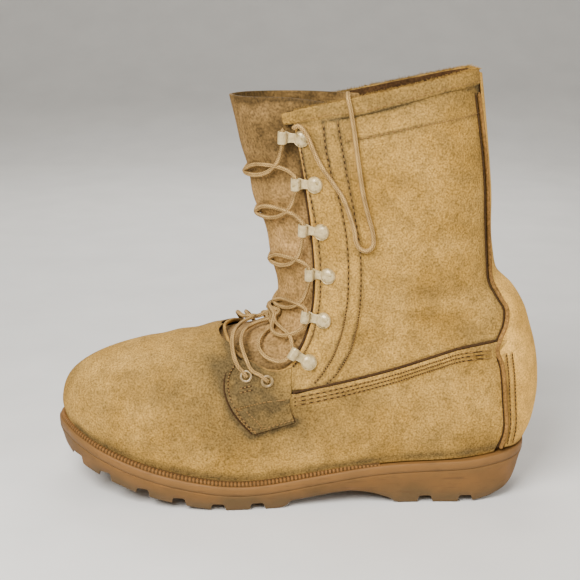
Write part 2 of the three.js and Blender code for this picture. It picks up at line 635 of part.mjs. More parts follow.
// The free end on the outer side: from the top hook over the collar, in a hanging loop. Each row
// is a place in the side view, and how far the lace's centre stands off the leather.
const LACE_END = [
  { x: 156.5, z: 252, out: 4.6 }, { x: 152.5, z: 254, out: 4.6 }, { x: 148, z: 249, out: 4 },
  { x: 144.5, z: 240, out: 2.6 }, { x: 139.5, z: 229.5, out: 2 }, { x: 133, z: 220, out: 2 },
  { x: 126.5, z: 210.5, out: 2 }, { x: 121.8, z: 199, out: 2 }, { x: 118.8, z: 189, out: 2 },
  { x: 117.7, z: 182.4, out: 2 }, { x: 115, z: 177.6, out: 2 }, { x: 111, z: 176.4, out: 2 },
  { x: 107.6, z: 179.6, out: 2 }, { x: 107.4, z: 186, out: 2 }, { x: 110.2, z: 197, out: 2 },
  { x: 113.8, z: 211, out: 2 }, { x: 117, z: 230, out: 2 }, { x: 120, z: 250, out: 2 },
  { x: 122.5, z: 264.5, out: 2.6 },
];
const LACE_END_STEPS = 46;
const LACE_END_SIDES = 8;
const LACE_OVER_COLLAR = [
  { rise: 1.4, inwards: -2.1 }, { rise: 3.4, inwards: 1.2 }, { rise: 2.8, inwards: 5 },
  { rise: -2.5, inwards: 8.2 }, { rise: -13, inwards: 8.6 },
];

function laceEndPoints() {
  const points = LACE_END.map(({ x, z, out }) => {
    const { level, around } = findOnSide(x, z, 1);
    return onUpper(level, around, 1, out).point;
  });
  const rim = onRing(COLLAR, findOnSide(123.5, 267, 1).around, 1);
  for (const { rise, inwards } of LACE_OVER_COLLAR)
    points.push(new THREE.Vector3(rim.x, rim.y - inwards, rim.z + rise));
  return points;
}

// ---------------------------------------------------------------- colours and assembly
const suede = new THREE.MeshStandardMaterial({ color: 0xb8976a, roughness: 0.95 });
const counterSuede = new THREE.MeshStandardMaterial({ color: 0xbd9a68, roughness: 0.9 });
const tongueLeather = new THREE.MeshStandardMaterial({ color: 0xb48a5c, roughness: 0.8 });
const rubber = new THREE.MeshStandardMaterial({ color: 0xb0834f, roughness: 0.75 });
const midsoleRubber = new THREE.MeshStandardMaterial({ color: 0xba8c56, roughness: 0.7 });
const weltRubber = new THREE.MeshStandardMaterial({ color: 0xa87b48, roughness: 0.75 });
const footbed = new THREE.MeshStandardMaterial({ color: 0x6d5a44, roughness: 0.95 });
const paintedBrass = new THREE.MeshStandardMaterial({ color: 0xb5aa92, roughness: 0.4, metalness: 0.3 });
const cord = new THREE.MeshStandardMaterial({ color: 0xae9268, roughness: 0.85 });

const boot = new THREE.Group();
function add(name, geometry, material) {
  const mesh = new THREE.Mesh(geometry, material);
  mesh.name = name;
  boot.add(mesh);
  return mesh;
}

add("outsole", makeOutsole(), rubber);
add("midsole", makeMidsole(), midsoleRubber);
add("welt", makeWelt(), weltRubber);
add("insole", makeInsole(), footbed);
add("upper", makeUpper(), suede);
add("heel_counter", makeHeelCounter(), counterSuede);
add("tongue", makeTongue(), tongueLeather);

const hook = hookGeometry();
const eyelet = eyeletGeometry();
for (const [sideName, side] of [["outer", 1], ["inner", -1]]) {
  const fit = (name, geometry, frame) => add(name, geometry.clone().applyMatrix4(frame), paintedBrass);
  HOOKS.forEach(({ x, z, turn, lift }, n) =>
    fit(`hook_${sideName}_${n + 1}`, hook, frameOnUpper(x, z, side, lift, turn)),
  );
  EYELETS.forEach(({ x, z }, n) =>
    fit(`eyelet_${sideName}_${n + 1}`, eyelet, frameOnUpper(x, z, side, EYELET_LIFT)),
  );
}

laceCrossings().forEach((geometry, n) => add(`lace_crossing_${n + 1}`, geometry, cord));
const looseEnd = add("lace_end", tube(laceEndPoints(), LACE_D, LACE_END_STEPS, LACE_END_SIDES), cord);

// The origin is on the floor below the middle of the box of all that isn't loose lace.
looseEnd.removeFromParent();
const box = new THREE.Box3().setFromObject(boot, true);
boot.add(looseEnd);
boot.position.set(-(box.min.x + box.max.x) / 2, -(box.min.y + box.max.y) / 2, -box.min.z);

export default boot;
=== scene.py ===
"""Looks of a left lace-up combat boot in rough-out tan leather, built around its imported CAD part.

Sizes are millimetres in the boot's own plan: x runs from the back of the heel to the toe, y is
positive to the wearer's left, the outer side, and z is up from the floor. Plan.metres turns them
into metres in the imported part's frame, where every piece is made in place.
"""
import json
import logging
import math
from dataclasses import dataclass, field
from enum import Enum
from typing import Callable, Sequence

import bpy
import numpy as np
from mathutils import Matrix, Vector

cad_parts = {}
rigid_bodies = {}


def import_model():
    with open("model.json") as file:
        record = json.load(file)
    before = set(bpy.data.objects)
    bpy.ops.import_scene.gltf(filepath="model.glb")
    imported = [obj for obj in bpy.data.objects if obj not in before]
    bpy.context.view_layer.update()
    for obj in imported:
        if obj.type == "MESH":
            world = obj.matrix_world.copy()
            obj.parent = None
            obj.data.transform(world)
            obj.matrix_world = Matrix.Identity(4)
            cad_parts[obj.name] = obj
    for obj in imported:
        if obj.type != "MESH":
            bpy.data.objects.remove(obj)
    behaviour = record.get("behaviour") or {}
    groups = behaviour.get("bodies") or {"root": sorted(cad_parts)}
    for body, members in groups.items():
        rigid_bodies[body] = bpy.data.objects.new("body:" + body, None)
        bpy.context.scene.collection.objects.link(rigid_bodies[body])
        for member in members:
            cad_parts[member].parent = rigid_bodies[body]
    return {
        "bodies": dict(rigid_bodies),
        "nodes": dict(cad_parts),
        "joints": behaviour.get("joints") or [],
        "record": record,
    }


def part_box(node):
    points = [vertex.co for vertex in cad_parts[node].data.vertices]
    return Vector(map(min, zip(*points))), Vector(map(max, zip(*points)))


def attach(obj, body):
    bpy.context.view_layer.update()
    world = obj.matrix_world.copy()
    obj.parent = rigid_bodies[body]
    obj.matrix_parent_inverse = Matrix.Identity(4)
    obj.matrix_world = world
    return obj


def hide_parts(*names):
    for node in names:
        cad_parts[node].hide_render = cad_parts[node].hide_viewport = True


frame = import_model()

log = logging.getLogger("boot")
Array = np.ndarray
Piece = bpy.types.Object
Material = bpy.types.Material
Laid = tuple[Array, Array]
Row = list[tuple[float, float]]
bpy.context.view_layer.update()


class Side(Enum):
    """Which side of the boot a piece is on."""

    OUTER = 1
    INNER = -1

    @property
    def word(self) -> str:
        """The side's name as the nodes have it."""
        return self.name.lower()


# ---- driving dimensions, as in the part
LEATHER = 2.4
COLLAR = 14
COUNTER_GAP, COUNTER_THICK, COUNTER_TOP = 0.45, 1.7, 13.7
TONGUE_THICK, TONGUE_CLEAR, TONGUE_FOOT, TONGUE_TOP = 2.4, 0.9, 5.1, 267.0
MIDSOLE = 6.0
GAP = 0.3
LUG_DEPTH = 3.4
TREAD_INSET = 2.5
LACE_D = 3.0

SOLE_EDGE = [  # x, outer y, inner y
    (0, 0, 0), (4, 17, -17), (14, 29.5, -29.5), (36, 38, -38), (70, 40, -39), (108, 42.5, -37.5),
    (146, 47.5, -40), (180, 53, -48), (212, 55.5, -56.5), (243, 53, -59.5), (270, 45, -57.5),
    (293, 32, -50.5), (310, 14, -38), (321.5, -13, -13),
]
SOLE_TOP = [
    (0, 35.6), (10, 34.8), (22, 33.2), (34, 31.7), (46, 30.6), (62, 29.8), (80, 29.3), (100, 28),
    (122, 25), (145, 21.8), (166, 18.8), (184, 17.2), (200, 17.6), (215, 19.6), (233, 22.6),
    (249, 25.7), (263, 28.9), (275, 32), (285, 34.8), (297, 38.4), (308, 41.6), (321.5, 44.4),
]
TREAD_BOTTOM = [
    (0, 26), (5, 17.5), (9, 11), (15, 6.6), (24, 3), (32, 1.2), (38, 0), (89, 0), (91, 2.6),
    (97, 4.8), (104, 7.2), (111, 8.8), (120, 9.8), (133, 8.4), (147, 6.2), (159, 4.6), (161.5, 1),
    (166, 0), (207, 0), (222, 2.2), (235, 4.2), (248, 6.4), (261, 8.9), (275, 12.6), (287, 15.6),
    (299, 18.4), (308, 21.4), (316, 25.6), (321.5, 31),
]
HEEL_NOTCHES = (42, 69)
FORE_NOTCHES = (180.5, 206.5, 232.5, 257, 283.5, 305)

# Rings of the upper from the feather edge to the collar: back x, z, front x, z, y, how far the ring
# follows the sole's curve and how far it rolls, then outer and inner y at RING_SHARES.
RING_SHARES = (0.03, 0.12, 0.3, 0.5, 0.66, 0.82, 0.94)
RINGS = [
    ((3, 36), (316, 44, -13), 1, 0, (23, 34, 38, 44.5, 50, 43, 23), (-23, -34, -34, -38, -51, -52.5, -43)),
    ((-2.5, 50), (318, 57, -13), 0.8, 0, (23.5, 35.5, 41, 47.5, 52.5, 46, 26),
     (-23.5, -35.5, -37, -41.5, -54, -55.5, -46)),
    ((-5.2, 68), (313, 72.5, -12.5), 0.6, 0, (23, 35, 40, 46.5, 51.5, 45.5, 25),
     (-23, -35, -37, -41.5, -53, -54.5, -45)),
    ((-5, 82), (299, 84.5, -12), 0.4, 0, (22, 34.5, 38.5, 44, 48, 41.5, 23),
     (-22, -34.5, -36, -40.5, -50.5, -50.5, -40.5)),
    ((-3.8, 93), (276, 94.5, -10), 0.25, 0, (21, 33.5, 37, 41, 43.5, 36.5, 20.5),
     (-21, -33.5, -35, -39, -45.5, -44, -33.5)),
    ((-1.5, 104), (248, 101.5, -8), 0.1, 0, (20, 32.5, 36, 39, 40, 32, 16.5),
     (-20, -32.5, -35, -37.5, -41, -37, -25)),
    ((2, 115.5), (223, 106, -6), 0, 0, (19.5, 31.5, 36, 38.5, 38.5, 30.5, 16.5),
     (-19.5, -31.5, -35, -37.5, -39, -33, -20.5)),
    ((6, 127.5), (203, 110.5, -4), 0, 0, (19, 31, 37, 39.5, 38.5, 30, 17),
     (-19, -31, -36, -38.5, -38, -31, -19)),
    ((13.5, 140), (185, 114.5, -2), 0, 0, (19, 31, 38.5, 41, 39.5, 31, 18),
     (-19, -31, -37.5, -40, -39, -31, -19)),
    ((25.5, 153), (172.5, 124.5, 0), 0, 0, (17.5, 31, 40, 43, 41, 31.5, 18),
     (-17.5, -31, -39, -42, -40, -31.5, -18)),
    ((30, 174), (172.5, 146, 0), 0, 0, (18, 32, 41.5, 44.5, 42.5, 32, 18),
     (-18, -32, -40.5, -43.5, -41.5, -32, -18)),
    ((31.3, 203), (177.5, 172, 0), 0, 0, (19, 33, 42, 45, 43, 32, 18),
     (-19, -33, -41, -44, -42, -32, -18)),
    ((34.2, 231), (186, 200, 0), 0, 0.02, (19.5, 32.5, 41.5, 44.5, 42.5, 32, 18),
     (-19.5, -32.5, -40.5, -43.5, -41.5, -32, -18)),
    ((37.6, 258.5), (192.5, 226, 0), 0, 0.045, (19.5, 31.5, 40, 43, 41.5, 31.5, 18),
     (-19.5, -31.5, -39, -42, -40.5, -31.5, -18)),
    ((40.8, 285), (198.5, 251, 0), 0, 0.065, (19, 30.5, 38.5, 41.5, 40, 31, 18),
     (-19, -30.5, -37.5, -40.5, -39.5, -31, -18)),
]

# Side views, as rows of x and z, of the edges that part the leather.
THROAT_UPRIGHT = [
    (162, 300), (157, 260), (150.5, 226), (145.5, 193), (142.5, 158), (143.5, 134), (148, 115),
    (155, 102), (162, 95.5),
]
COUNTER_EDGE = [
    (17, 30), (16.4, 50), (18, 71), (21, 95), (25, 106), (23.4, 113), (19.8, 122), (19.4, 132),
    (23.6, 139), (28.6, 148), (30.9, 160), (32, 178), (33, 192), (35.8, 225), (38.7, 250), (42.6, 285),
]
HOOK_PLACES = [  # x, z, slope in degrees, lift off the leather
    (152, 245.5, 2, 0.3), (143.8, 217, 0, 0.3), (139.3, 186.8, 2, 0.3), (135, 158, 1, 0.3),
    (137.4, 127.5, 8, 0.9), (147.2, 100.5, 31, 0.7),
]
EYELET_PLACES = [(174, 88.5), (187.5, 91)]
CROSSINGS = [  # height at the tongue's middle, and how far off the line of the leather
    (217.5, -0.9), (190.5, -0.9), (159, -0.9), (130, -0.6),
]
HOOK_REACH, HOOK_HEIGHT = 12.4, 2.6


# ---- curves
def smooth_table(rows: Row, keys: Array, reach: float) -> Array:
    """Values of a table at keys, averaged over a short stretch either side.

    Args:
        rows: key and value pairs in rising order of key.
        keys: where to read the table.
        reach: half the stretch that is averaged, and 0 for none.

    Returns:
        One value for each key.
    """
    xs, zs = zip(*rows)
    steps = np.linspace(-reach, reach, 13)
    return np.mean([np.interp(keys + step, xs, zs) for step in steps], axis=0)


def sole_top(x: Array) -> Array:
    """Height of the midsole's top at stations x."""
    return smooth_table(SOLE_TOP, np.asarray(x, float), 12)


def row_spline(rows: Array, t: float) -> Array:
    """Uniform Catmull-Rom row at position t in a table, straight beyond either end.

    Args:
        rows: the table's rows.
        t: where to read it, whole at each row.

    Returns:
        The row there.
    """
    last = len(rows) - 1
    if t > last:
        return rows[last] + (t - last) * (rows[last] - rows[last - 1])
    n = min(max(int(t), 0), last - 1)
    f = t - n
    b, c = rows[n], rows[n + 1]
    a = rows[n - 1] if n else 2 * b - c
    d = rows[n + 2] if n + 2 <= last else 2 * c - b
    square, cube = 2 * a - 5 * b + 4 * c - d, 3 * b - a - 3 * c + d
    return 0.5 * (2 * b + (c - a) * f + square * f**2 + cube * f**3)


def hermite(window: Sequence[Array], f: Array) -> Array:
    """Centripetal Catmull-Rom between the middle two of four points, at shares f.

    Args:
        window: four arrays of points, in order along the curve.
        f: shares of the way from the second to the third.

    Returns:
        One point for each share.
    """
    a, b, c, d = window
    steps = [np.sum((q - p) ** 2, -1, keepdims=True) ** 0.25 for p, q in ((a, b), (b, c), (c, d))]
    s0, s1, s2 = (np.maximum(step, 1e-4) for step in steps)
    t1 = ((b - a) / s0 - (c - a) / (s0 + s1) + (c - b) / s1) * s1
    t2 = ((c - b) / s1 - (d - b) / (s1 + s2) + (d - c) / s2) * s1
    f = f[:, None]
    return b + t1 * f + (3 * (c - b) - 2 * t1 - t2) * f**2 + (2 * (b - c) + t1 + t2) * f**3


def loop_curve(points: Array, shares: Array) -> Array:
    """Points of a closed centripetal curve at shares of its controls.

    Args:
        points: the curve's controls.
        shares: where to read it, from 0 to 1 once round.

    Returns:
        One point for each share.
    """
    count = len(points)
    place = (np.asarray(shares, float) % 1) * count
    n = place.astype(int)
    return hermite([points[(n + k) % count] for k in (-1, 0, 1, 2)], place - n)


def open_curve(points: Sequence[Sequence[float]], count: int) -> Array:
    """Evenly spaced points along an open centripetal curve.

    Args:
        points: the curve's controls, in two or three dimensions.
        count: how many points to return.

    Returns:
        The points, count rows.
    """
    controls = np.array(points, float)
    ends = [2 * controls[0] - controls[1]], [2 * controls[-1] - controls[-2]]
    padded = np.vstack([ends[0], controls, ends[1]])
    place = np.linspace(0, len(controls) - 1, 24 * len(controls))
    n = np.minimum(place.astype(int), len(controls) - 2)
    dense = hermite([padded[n + k] for k in range(4)], place - n)
    return resample(dense, count)


def run_length(points: Array) -> Array:
    """Distance along a line of points, at each point."""
    steps = np.linalg.norm(np.diff(points, axis=0), axis=1)
    return np.concatenate([[0], np.cumsum(steps)])


def resample(points: Array, count: int) -> Array:
    """The same line of points with count points evenly spaced along it.

    Args:
        points: the line.
        count: how many points to return.

    Returns:
        The evenly spaced points.
    """
    run = run_length(points)
    places = np.linspace(0, run[-1], count)
    return np.stack([np.interp(places, run, points[:, k]) for k in range(points.shape[1])], axis=1)


def unit(directions: Array) -> Array:
    """The same directions, each of length 1."""
    return directions / np.linalg.norm(directions, axis=-1, keepdims=True)


def ease(t: Array) -> Array:
    """A smooth step from 0 to 1 as t goes from 0 to 1."""
    t = np.clip(t, 0, 1)
    return t * t * (3 - 2 * t)


def distance_to_row(x: Array, z: Array, row: Row) -> tuple[Array, Array]:
    """How far side-view places are from a row of points.

    Args:
        x: stations.
        z: heights.
        row: the row's corners.

    Returns:
        The distances, and the share of the row at which each place is nearest.
    """
    best = np.full(len(x), 1e9)
    share = np.zeros(len(x))
    corners = np.array(row, float)
    for n, (a, b) in enumerate(zip(corners[:-1], corners[1:])):
        d = b - a
        t = np.clip(((x - a[0]) * d[0] + (z - a[1]) * d[1]) / (d @ d), 0, 1)
        away = np.hypot(x - a[0] - t * d[0], z - a[1] - t * d[1])
        share = np.where(away < best, (n + t) / (len(corners) - 1), share)
        best = np.minimum(best, away)
    return best, share


@dataclass
class SoleLine:
    """The sole's outline at its top edge, as a closed curve in plan."""

    controls: Array = field(init=False)

    def __post_init__(self) -> None:
        """Works the curve's controls out from the table of the edge."""
        half = SOLE_EDGE[1:-1]
        rows = [SOLE_EDGE[0][:2], *((x, y) for x, y, _ in half), SOLE_EDGE[-1][:2]]
        rows += [(x, y) for x, _, y in reversed(half)]
        self.controls = np.array([(x, y, 0) for x, y in rows], float)

    def at(self, share: Array, inset: Array | float = 0) -> Array:
        """Points of the outline at shares of it, moved inwards by inset.

        Args:
            share: shares of the outline, from the heel round by the outer side.
            inset: how far inwards each point is moved.

        Returns:
            The points.
        """
        share = np.asarray(share, float)
        ahead, behind = loop_curve(self.controls, share + 1e-3), loop_curve(self.controls, share - 1e-3)
        tangent = unit(ahead - behind)
        inwards = np.stack([tangent[:, 1], -tangent[:, 0], tangent[:, 2]], axis=1)
        return loop_curve(self.controls, share) + inwards * np.reshape(inset, (-1, 1))


class Plan:
    """Where the boot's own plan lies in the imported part's frame."""

    line = SoleLine()
    _ribs = line.at(np.linspace(0, 1, 89))
    _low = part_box("midsole")[0]
    origin = np.array([_low.x * 1000 - _ribs[:, 0].min(), _low.y * 1000 - _ribs[:, 1].min(), 0])

    @classmethod
    def metres(cls, points: Array) -> Array:
        """Points in millimetres of the plan, as metres in the part's frame."""
        return (np.asarray(points, float) + cls.origin) / 1000


# ---- the last
@dataclass(frozen=True)
class Crease:
    """A soft trough, or a ridge where depth is negative, along a row of side-view places."""

    row: Row
    depth: float
    width: float


CREASES = [
    # Shaft: slack folds above the ankle and the broad hollows of a worn leg.
    Crease([(30, 150), (52, 143), (78, 143), (104, 150)], 1.5, 6),
    Crease([(28, 165), (60, 158), (92, 160)], -0.8, 7),
    Crease([(36, 128), (58, 124), (86, 129), (106, 136)], 1.1, 6),
    Crease([(40, 190), (66, 181), (95, 188)], 1.1, 10),
    Crease([(110, 246), (84, 225), (60, 218)], 1.1, 12),
    Crease([(100, 205), (88, 185), (92, 165)], -0.8, 12),
    Crease([(112, 130), (108, 112), (98, 98)], 0.8, 7),
    Crease([(54, 250), (50, 222), (48, 200)], -0.7, 9),
    # Puckers where the wing's seam runs in under the heel counter.
    Crease([(26, 108), (38, 100), (46, 90)], 1.0, 3.4),
    Crease([(26, 118), (36, 117), (48, 121)], 0.9, 3.6),
    Crease([(27, 96), (36, 87), (40, 76)], 0.7, 3.6),
    # Vamp: flexing folds across the forefoot and puckers round the tab.
    Crease([(226, 106), (221, 92), (212, 78), (206, 66)], 1.4, 5),
    Crease([(238, 104), (235, 90), (228, 76)], -0.7, 5.5),
    Crease([(250, 101), (248, 88), (240, 76)], 1.1, 6),
    Crease([(214, 107), (207, 94), (203, 80), (198, 66)], -0.9, 3.6),
    Crease([(150, 60), (168, 50), (190, 47)], 0.8, 5.5),
    Crease([(200, 58), (214, 50), (236, 48)], 0.7, 8),
    Crease([(266, 92), (262, 80), (252, 66)], 0.6, 9),
    Crease([(110, 70), (136, 64), (160, 66)], 0.6, 8),
    Crease([(60, 82), (84, 74), (108, 74)], 0.5, 9),
    # Facing: the leather dips between the hooks.
    Crease([(131, 231), (144, 231)], 0.5, 6),
    Crease([(124, 201), (139, 202)], 0.5, 6),
    Crease([(121, 172), (136, 173)], 0.5, 6),
    Crease([(122, 142), (138, 143)], 0.5, 6),
]


@dataclass
class Last:
    """The upper's outer surface: rings from the feather edge (level 0) to the collar (level 14).

    A share runs round a ring from 0 at the back, along the outer side to 0.5 at the front and back
    along the inner side. around runs from 0 at the back to 1 at the front on either side.
    """

    levels_per_ring: int = 20
    shares: int = 640
    top: int = COLLAR + 2
    worn_corner: float = 2.6  # how far the collar is rounded down over the backstay
    points: Array = field(init=False)
    normals: Array = field(init=False)

    def __post_init__(self) -> None:
        """Works the surface out on a close grid of levels and shares."""
        table = np.array([[*b, *f, follow, roll, *o, *i] for b, f, follow, roll, o, i in RINGS], float)
        levels = np.arange(self.top * self.levels_per_ring + 1) / self.levels_per_ring
        shares = np.arange(self.shares) / self.shares
        rings = [loop_curve(self.ring_controls(row_spline(table, level)), shares) for level in levels]
        self.points = np.array(rings)
        along = np.roll(self.points, -1, axis=1) - np.roll(self.points, 1, axis=1)
        up = np.gradient(self.points, axis=0)
        normals = np.cross(up, along)
        self.normals = unit(normals)

    @staticmethod
    def ring_controls(row: Array) -> Array:
        """The points that one ring's curve runs through, from its row of sizes.

        Args:
            row: the ring's sizes, in the order of RINGS.

        Returns:
            The controls, once round the ring.
        """
        back, front, follow, roll = row[:2], row[2:5], max(row[5], 0), row[6]
        shares = np.array([0, *RING_SHARES, 1, *reversed(RING_SHARES)])
        y = np.array([0, *row[7:14], front[2], *row[:13:-1]])
        x = back[0] + (front[0] - back[0]) * shares
        low, high = sole_top([back[0]])[0], sole_top([front[0]])[0]
        z = back[1] + (front[1] - back[1]) * shares
        z += follow * (sole_top(x) - low - (high - low) * shares)
        return np.stack([x, y, z + roll * y], axis=1)

    def read(self, grid: Array, level: Array, share: Array) -> Array:
        """A grid's values at levels and shares, blended from the four nearest.

        Args:
            grid: a value for each level and share of the last's own grid.
            level: levels to read at.
            share: shares to read at.

        Returns:
            A value for each level and share.
        """
        row = np.clip(level * self.levels_per_ring, 0, len(grid) - 1.001)
        column = (share % 1) * self.shares
        r, c = row.astype(int), column.astype(int)
        fr, fc = (row - r)[:, None], (column - c)[:, None]
        c, after = c % self.shares, (c + 1) % self.shares
        low = grid[r, c] * (1 - fc) + grid[r, after] * fc
        high = grid[r + 1, c] * (1 - fc) + grid[r + 1, after] * fc
        return low * (1 - fr) + high * fr

    def at(self, level: Array, share: Array, out: Array | float = 0, creased: bool = True) -> Laid:
        """Points on the leather, moved out along the surface's normal.

        Args:
            level: levels, one for each point.
            share: shares round the ring, one for each point.
            out: how far off the bare surface each point is.
            creased: whether the creases are pressed in and the collar's back corner is worn down.

        Returns:
            The points and the outward normals.
        """
        level, share = np.broadcast_arrays(np.asarray(level, float), np.asarray(share, float))
        bare, normal = self.read(self.points, level, share), self.read(self.normals, level, share)
        normal = unit(normal)
        off = np.broadcast_to(np.asarray(out, float), level.shape)
        rise = np.zeros(len(level))
        if creased:
            off = off - self.relief(bare)
            behind = np.minimum(share % 1, 1 - share % 1)
            rise = -self.worn_corner * ease(level - 13) * np.exp(-((behind / 0.035) ** 2))
        points = bare + normal * off[:, None]
        points[:, 2] += rise
        return points, normal

    def spot(self, level: float, share: float, out: float) -> Array:
        """One place off the leather, which no crease moves."""
        return self.at([level], [share], out, creased=False)[0][0]

    @staticmethod
    def relief(bare: Array) -> Array:
        """How deep the creases press the leather in on both sides of the boot.

        Args:
            bare: points of the bare surface.

        Returns:
            A depth in millimetres for each point.
        """
        depth = np.zeros(len(bare))
        for crease in CREASES:
            away, along = distance_to_row(bare[:, 0], bare[:, 2], crease.row)
            fade = 0.25 + 0.75 * np.sin(np.pi * np.clip(along, 0.02, 0.98))
            depth += crease.depth * fade * np.exp(-((away / crease.width) ** 2))
        return depth

    def find(self, x: float, z: float, side: Side) -> tuple[float, float]:
        """Level and share at which one side passes a place in the side view.

        Args:
            x: the place's station.
            z: its height.
            side: the side of the boot.

        Returns:
            The level and the share.
        """
        half = self.shares // 2
        columns = np.arange(12, half - 6)
        columns = columns if side is Side.OUTER else self.shares - columns
        seen = self.points[: COLLAR * self.levels_per_ring + 1, columns][:, :, ::2]
        row, column = divmod(int(np.argmin((seen[..., 0] - x) ** 2 + (seen[..., 1] - z) ** 2)), len(columns))
        level, share = row / self.levels_per_ring, columns[column] / self.shares
        step = 0.02
        for _ in range(4):
            spots = self.read(self.points, level + np.array([0, step, 0]), share + np.array([0, 0, step / 8]))
            p, by_level, by_share = spots[:, ::2]
            slope = np.array([(by_level - p) / step, (by_share - p) / (step / 8)]).T
            moved = np.linalg.lstsq(slope, np.array([x, z]) - p, rcond=None)[0]
            level = float(np.clip(level + np.clip(moved[0], -0.2, 0.2), 0, COLLAR))
            share = float(share + np.clip(moved[1], -0.01, 0.01))
        return level, share

    def crossing(self, edge: Row, levels: Array, side: Side) -> Array:
        """Shares at which rings pass an edge that is given as x at heights z.

        Args:
            edge: the edge's points in the side view.
            levels: the rings' levels.
            side: the side of the boot.

        Returns:
            A share for each level.
        """
        rows = sorted((z, x) for x, z in edge)
        steps = np.linspace(0.02, 0.495, 300)
        steps = steps if side is Side.OUTER else 1 - steps
        found = []
        for level in np.asarray(levels, float):
            p = self.read(self.points, np.full(len(steps), level), steps)
            beyond = p[:, 0] - np.interp(p[:, 2], *zip(*rows))
            n = max(int(np.argmax(beyond > 0)), 1)
            t = beyond[n - 1] / (beyond[n - 1] - beyond[n])
            found.append(steps[n - 1] + np.clip(t, 0, 1) * (steps[n] - steps[n - 1]))
        return np.array(found)

    def on_rows(self, rows: Row, side: Side, count: int, out: Array | float) -> Laid:
        """Evenly spaced points on the leather along a row of side-view places.

        Args:
            rows: the row's corners in the side view.
            side: the side of the boot.
            count: how many points to return.
            out: how far off the leather they lie.

        Returns:
            The points and the outward normals.
        """
        places = [self.find(x, z, side) for x, z in open_curve(rows, max(count // 2, 8))]
        places = resample(np.array(places), count)
        return self.at(places[:, 0], places[:, 1], out)


LAST = Last()


# ---- making meshes
def deselect() -> None:
    """Leaves nothing selected, so that an operator acts on the new piece only."""
    if bpy.context.object and bpy.context.object.mode != "OBJECT":
        bpy.ops.object.mode_set(mode="OBJECT")
    bpy.ops.object.select_all(action="DESELECT")


def choose(*objects: Piece) -> None:
    """Selects these objects, the first of them active."""
    deselect()
    for thing in objects:
        thing.select_set(True)
    bpy.context.view_layer.objects.active = objects[0]


def named(thing: Piece, name: str) -> Piece:
    """Names an object and its mesh."""
    thing.name = thing.data.name = name
    return thing


def read_points(thing: Piece) -> Array:
    """A mesh's points as rows of x, y and z, in its own units.

    Args:
        thing: the mesh's object.

    Returns:
        One row for each point.
    """
    flat = np.zeros(len(thing.data.vertices) * 3)
    thing.data.vertices.foreach_get("co", flat)
    return flat.reshape(-1, 3)


def write_points(thing: Piece, points: Array) -> None:
    """Puts a mesh's points at rows of x, y and z, in its own units."""
    thing.data.vertices.foreach_set("co", np.asarray(points, float).ravel())
    thing.data.update()


def in_edit(thing: Piece, work: Callable[[], object]) -> None:
    """Runs an operator on a whole mesh in edit mode.

    Args:
        thing: the mesh's object.
        work: calls the operator, with everything selected.
    """
    choose(thing)
    bpy.ops.object.mode_set(mode="EDIT")
    bpy.ops.mesh.select_all(action="SELECT")
    work()
    bpy.ops.object.mode_set(mode="OBJECT")


def weld(thing: Piece, distance_mm: float = 0.01) -> None:
    """Merges points that lie on each other, as at a seam or a pole."""
    in_edit(thing, lambda: bpy.ops.mesh.remove_doubles(threshold=distance_mm / 1000))


def face_outwards(thing: Piece) -> None:
    """Turns a closed mesh's faces outwards."""
    in_edit(thing, lambda: bpy.ops.mesh.normals_make_consistent(inside=False))


def modify(thing: Piece, kind: str, **settings: object) -> None:
    """Adds a modifier and applies it.

    Args:
        thing: the piece.
        kind: the modifier's type.
        **settings: its settings by name.
    """
    choose(thing)
    modifier = thing.modifiers.new(kind.title(), kind)
    for key, value in settings.items():
        setattr(modifier, key, value)
    bpy.ops.object.modifier_apply(modifier=modifier.name)


def smooth(thing: Piece, angle: float = 40) -> None:
    """Shades a piece smooth, except across edges sharper than an angle in degrees."""
    choose(thing)
    bpy.ops.object.shade_smooth_by_angle(angle=math.radians(angle))


def new_grid(name: str, columns: int, rows: int) -> tuple[Piece, Array, Array]:
    """Adds a flat grid primitive, whose points are then laid on a surface.

    Args:
        name: the piece's name.
        columns: how many squares it has across.
        rows: how many squares it has up.

    Returns:
        The grid, and how far across (u) and up (v) each of its points is, from 0 to 1.
    """
    deselect()
    bpy.ops.mesh.primitive_grid_add(x_subdivisions=columns, y_subdivisions=rows, size=2)
    sheet = named(bpy.context.object, name)
    flat = read_points(sheet)
    return sheet, (flat[:, 0] + 1) / 2, (flat[:, 1] + 1) / 2


def lay(sheet: Piece, laid: Laid) -> None:
    """Puts a grid's points where a surface has them, and turns its faces outwards.

    Args:
        sheet: the grid.
        laid: for each point its place in millimetres and the direction outwards.
    """
    points, normals = laid
    write_points(sheet, Plan.metres(points))
    facing = np.zeros(len(points) * 3)
    sheet.data.vertices.foreach_get("normal", facing)
    if np.sum(facing.reshape(-1, 3) * normals) < 0:
        in_edit(sheet, bpy.ops.mesh.flip_normals)


def thicken(sheet: Piece, mm: float, edge_mm: float = 0.35) -> None:
    """Gives a sheet its thickness inwards, with softened edges.

    The inner faces take the sheet's second material and the cut rim its third.

    Args:
        sheet: the sheet, its outside facing out.
        mm: its thickness.
        edge_mm: how far its edges are rounded, and 0 for none.
    """
    for _ in range(3):
        sheet.data.materials.append(None)
    modify(sheet, "SOLIDIFY", thickness=mm / 1000, offset=-1, use_even_offset=True, use_rim=True,
        material_offset=1, material_offset_rim=2)
    if edge_mm:
        modify(sheet, "BEVEL", width=edge_mm / 1000, segments=2, limit_method="ANGLE",
            angle_limit=math.radians(55))
    smooth(sheet, 50)


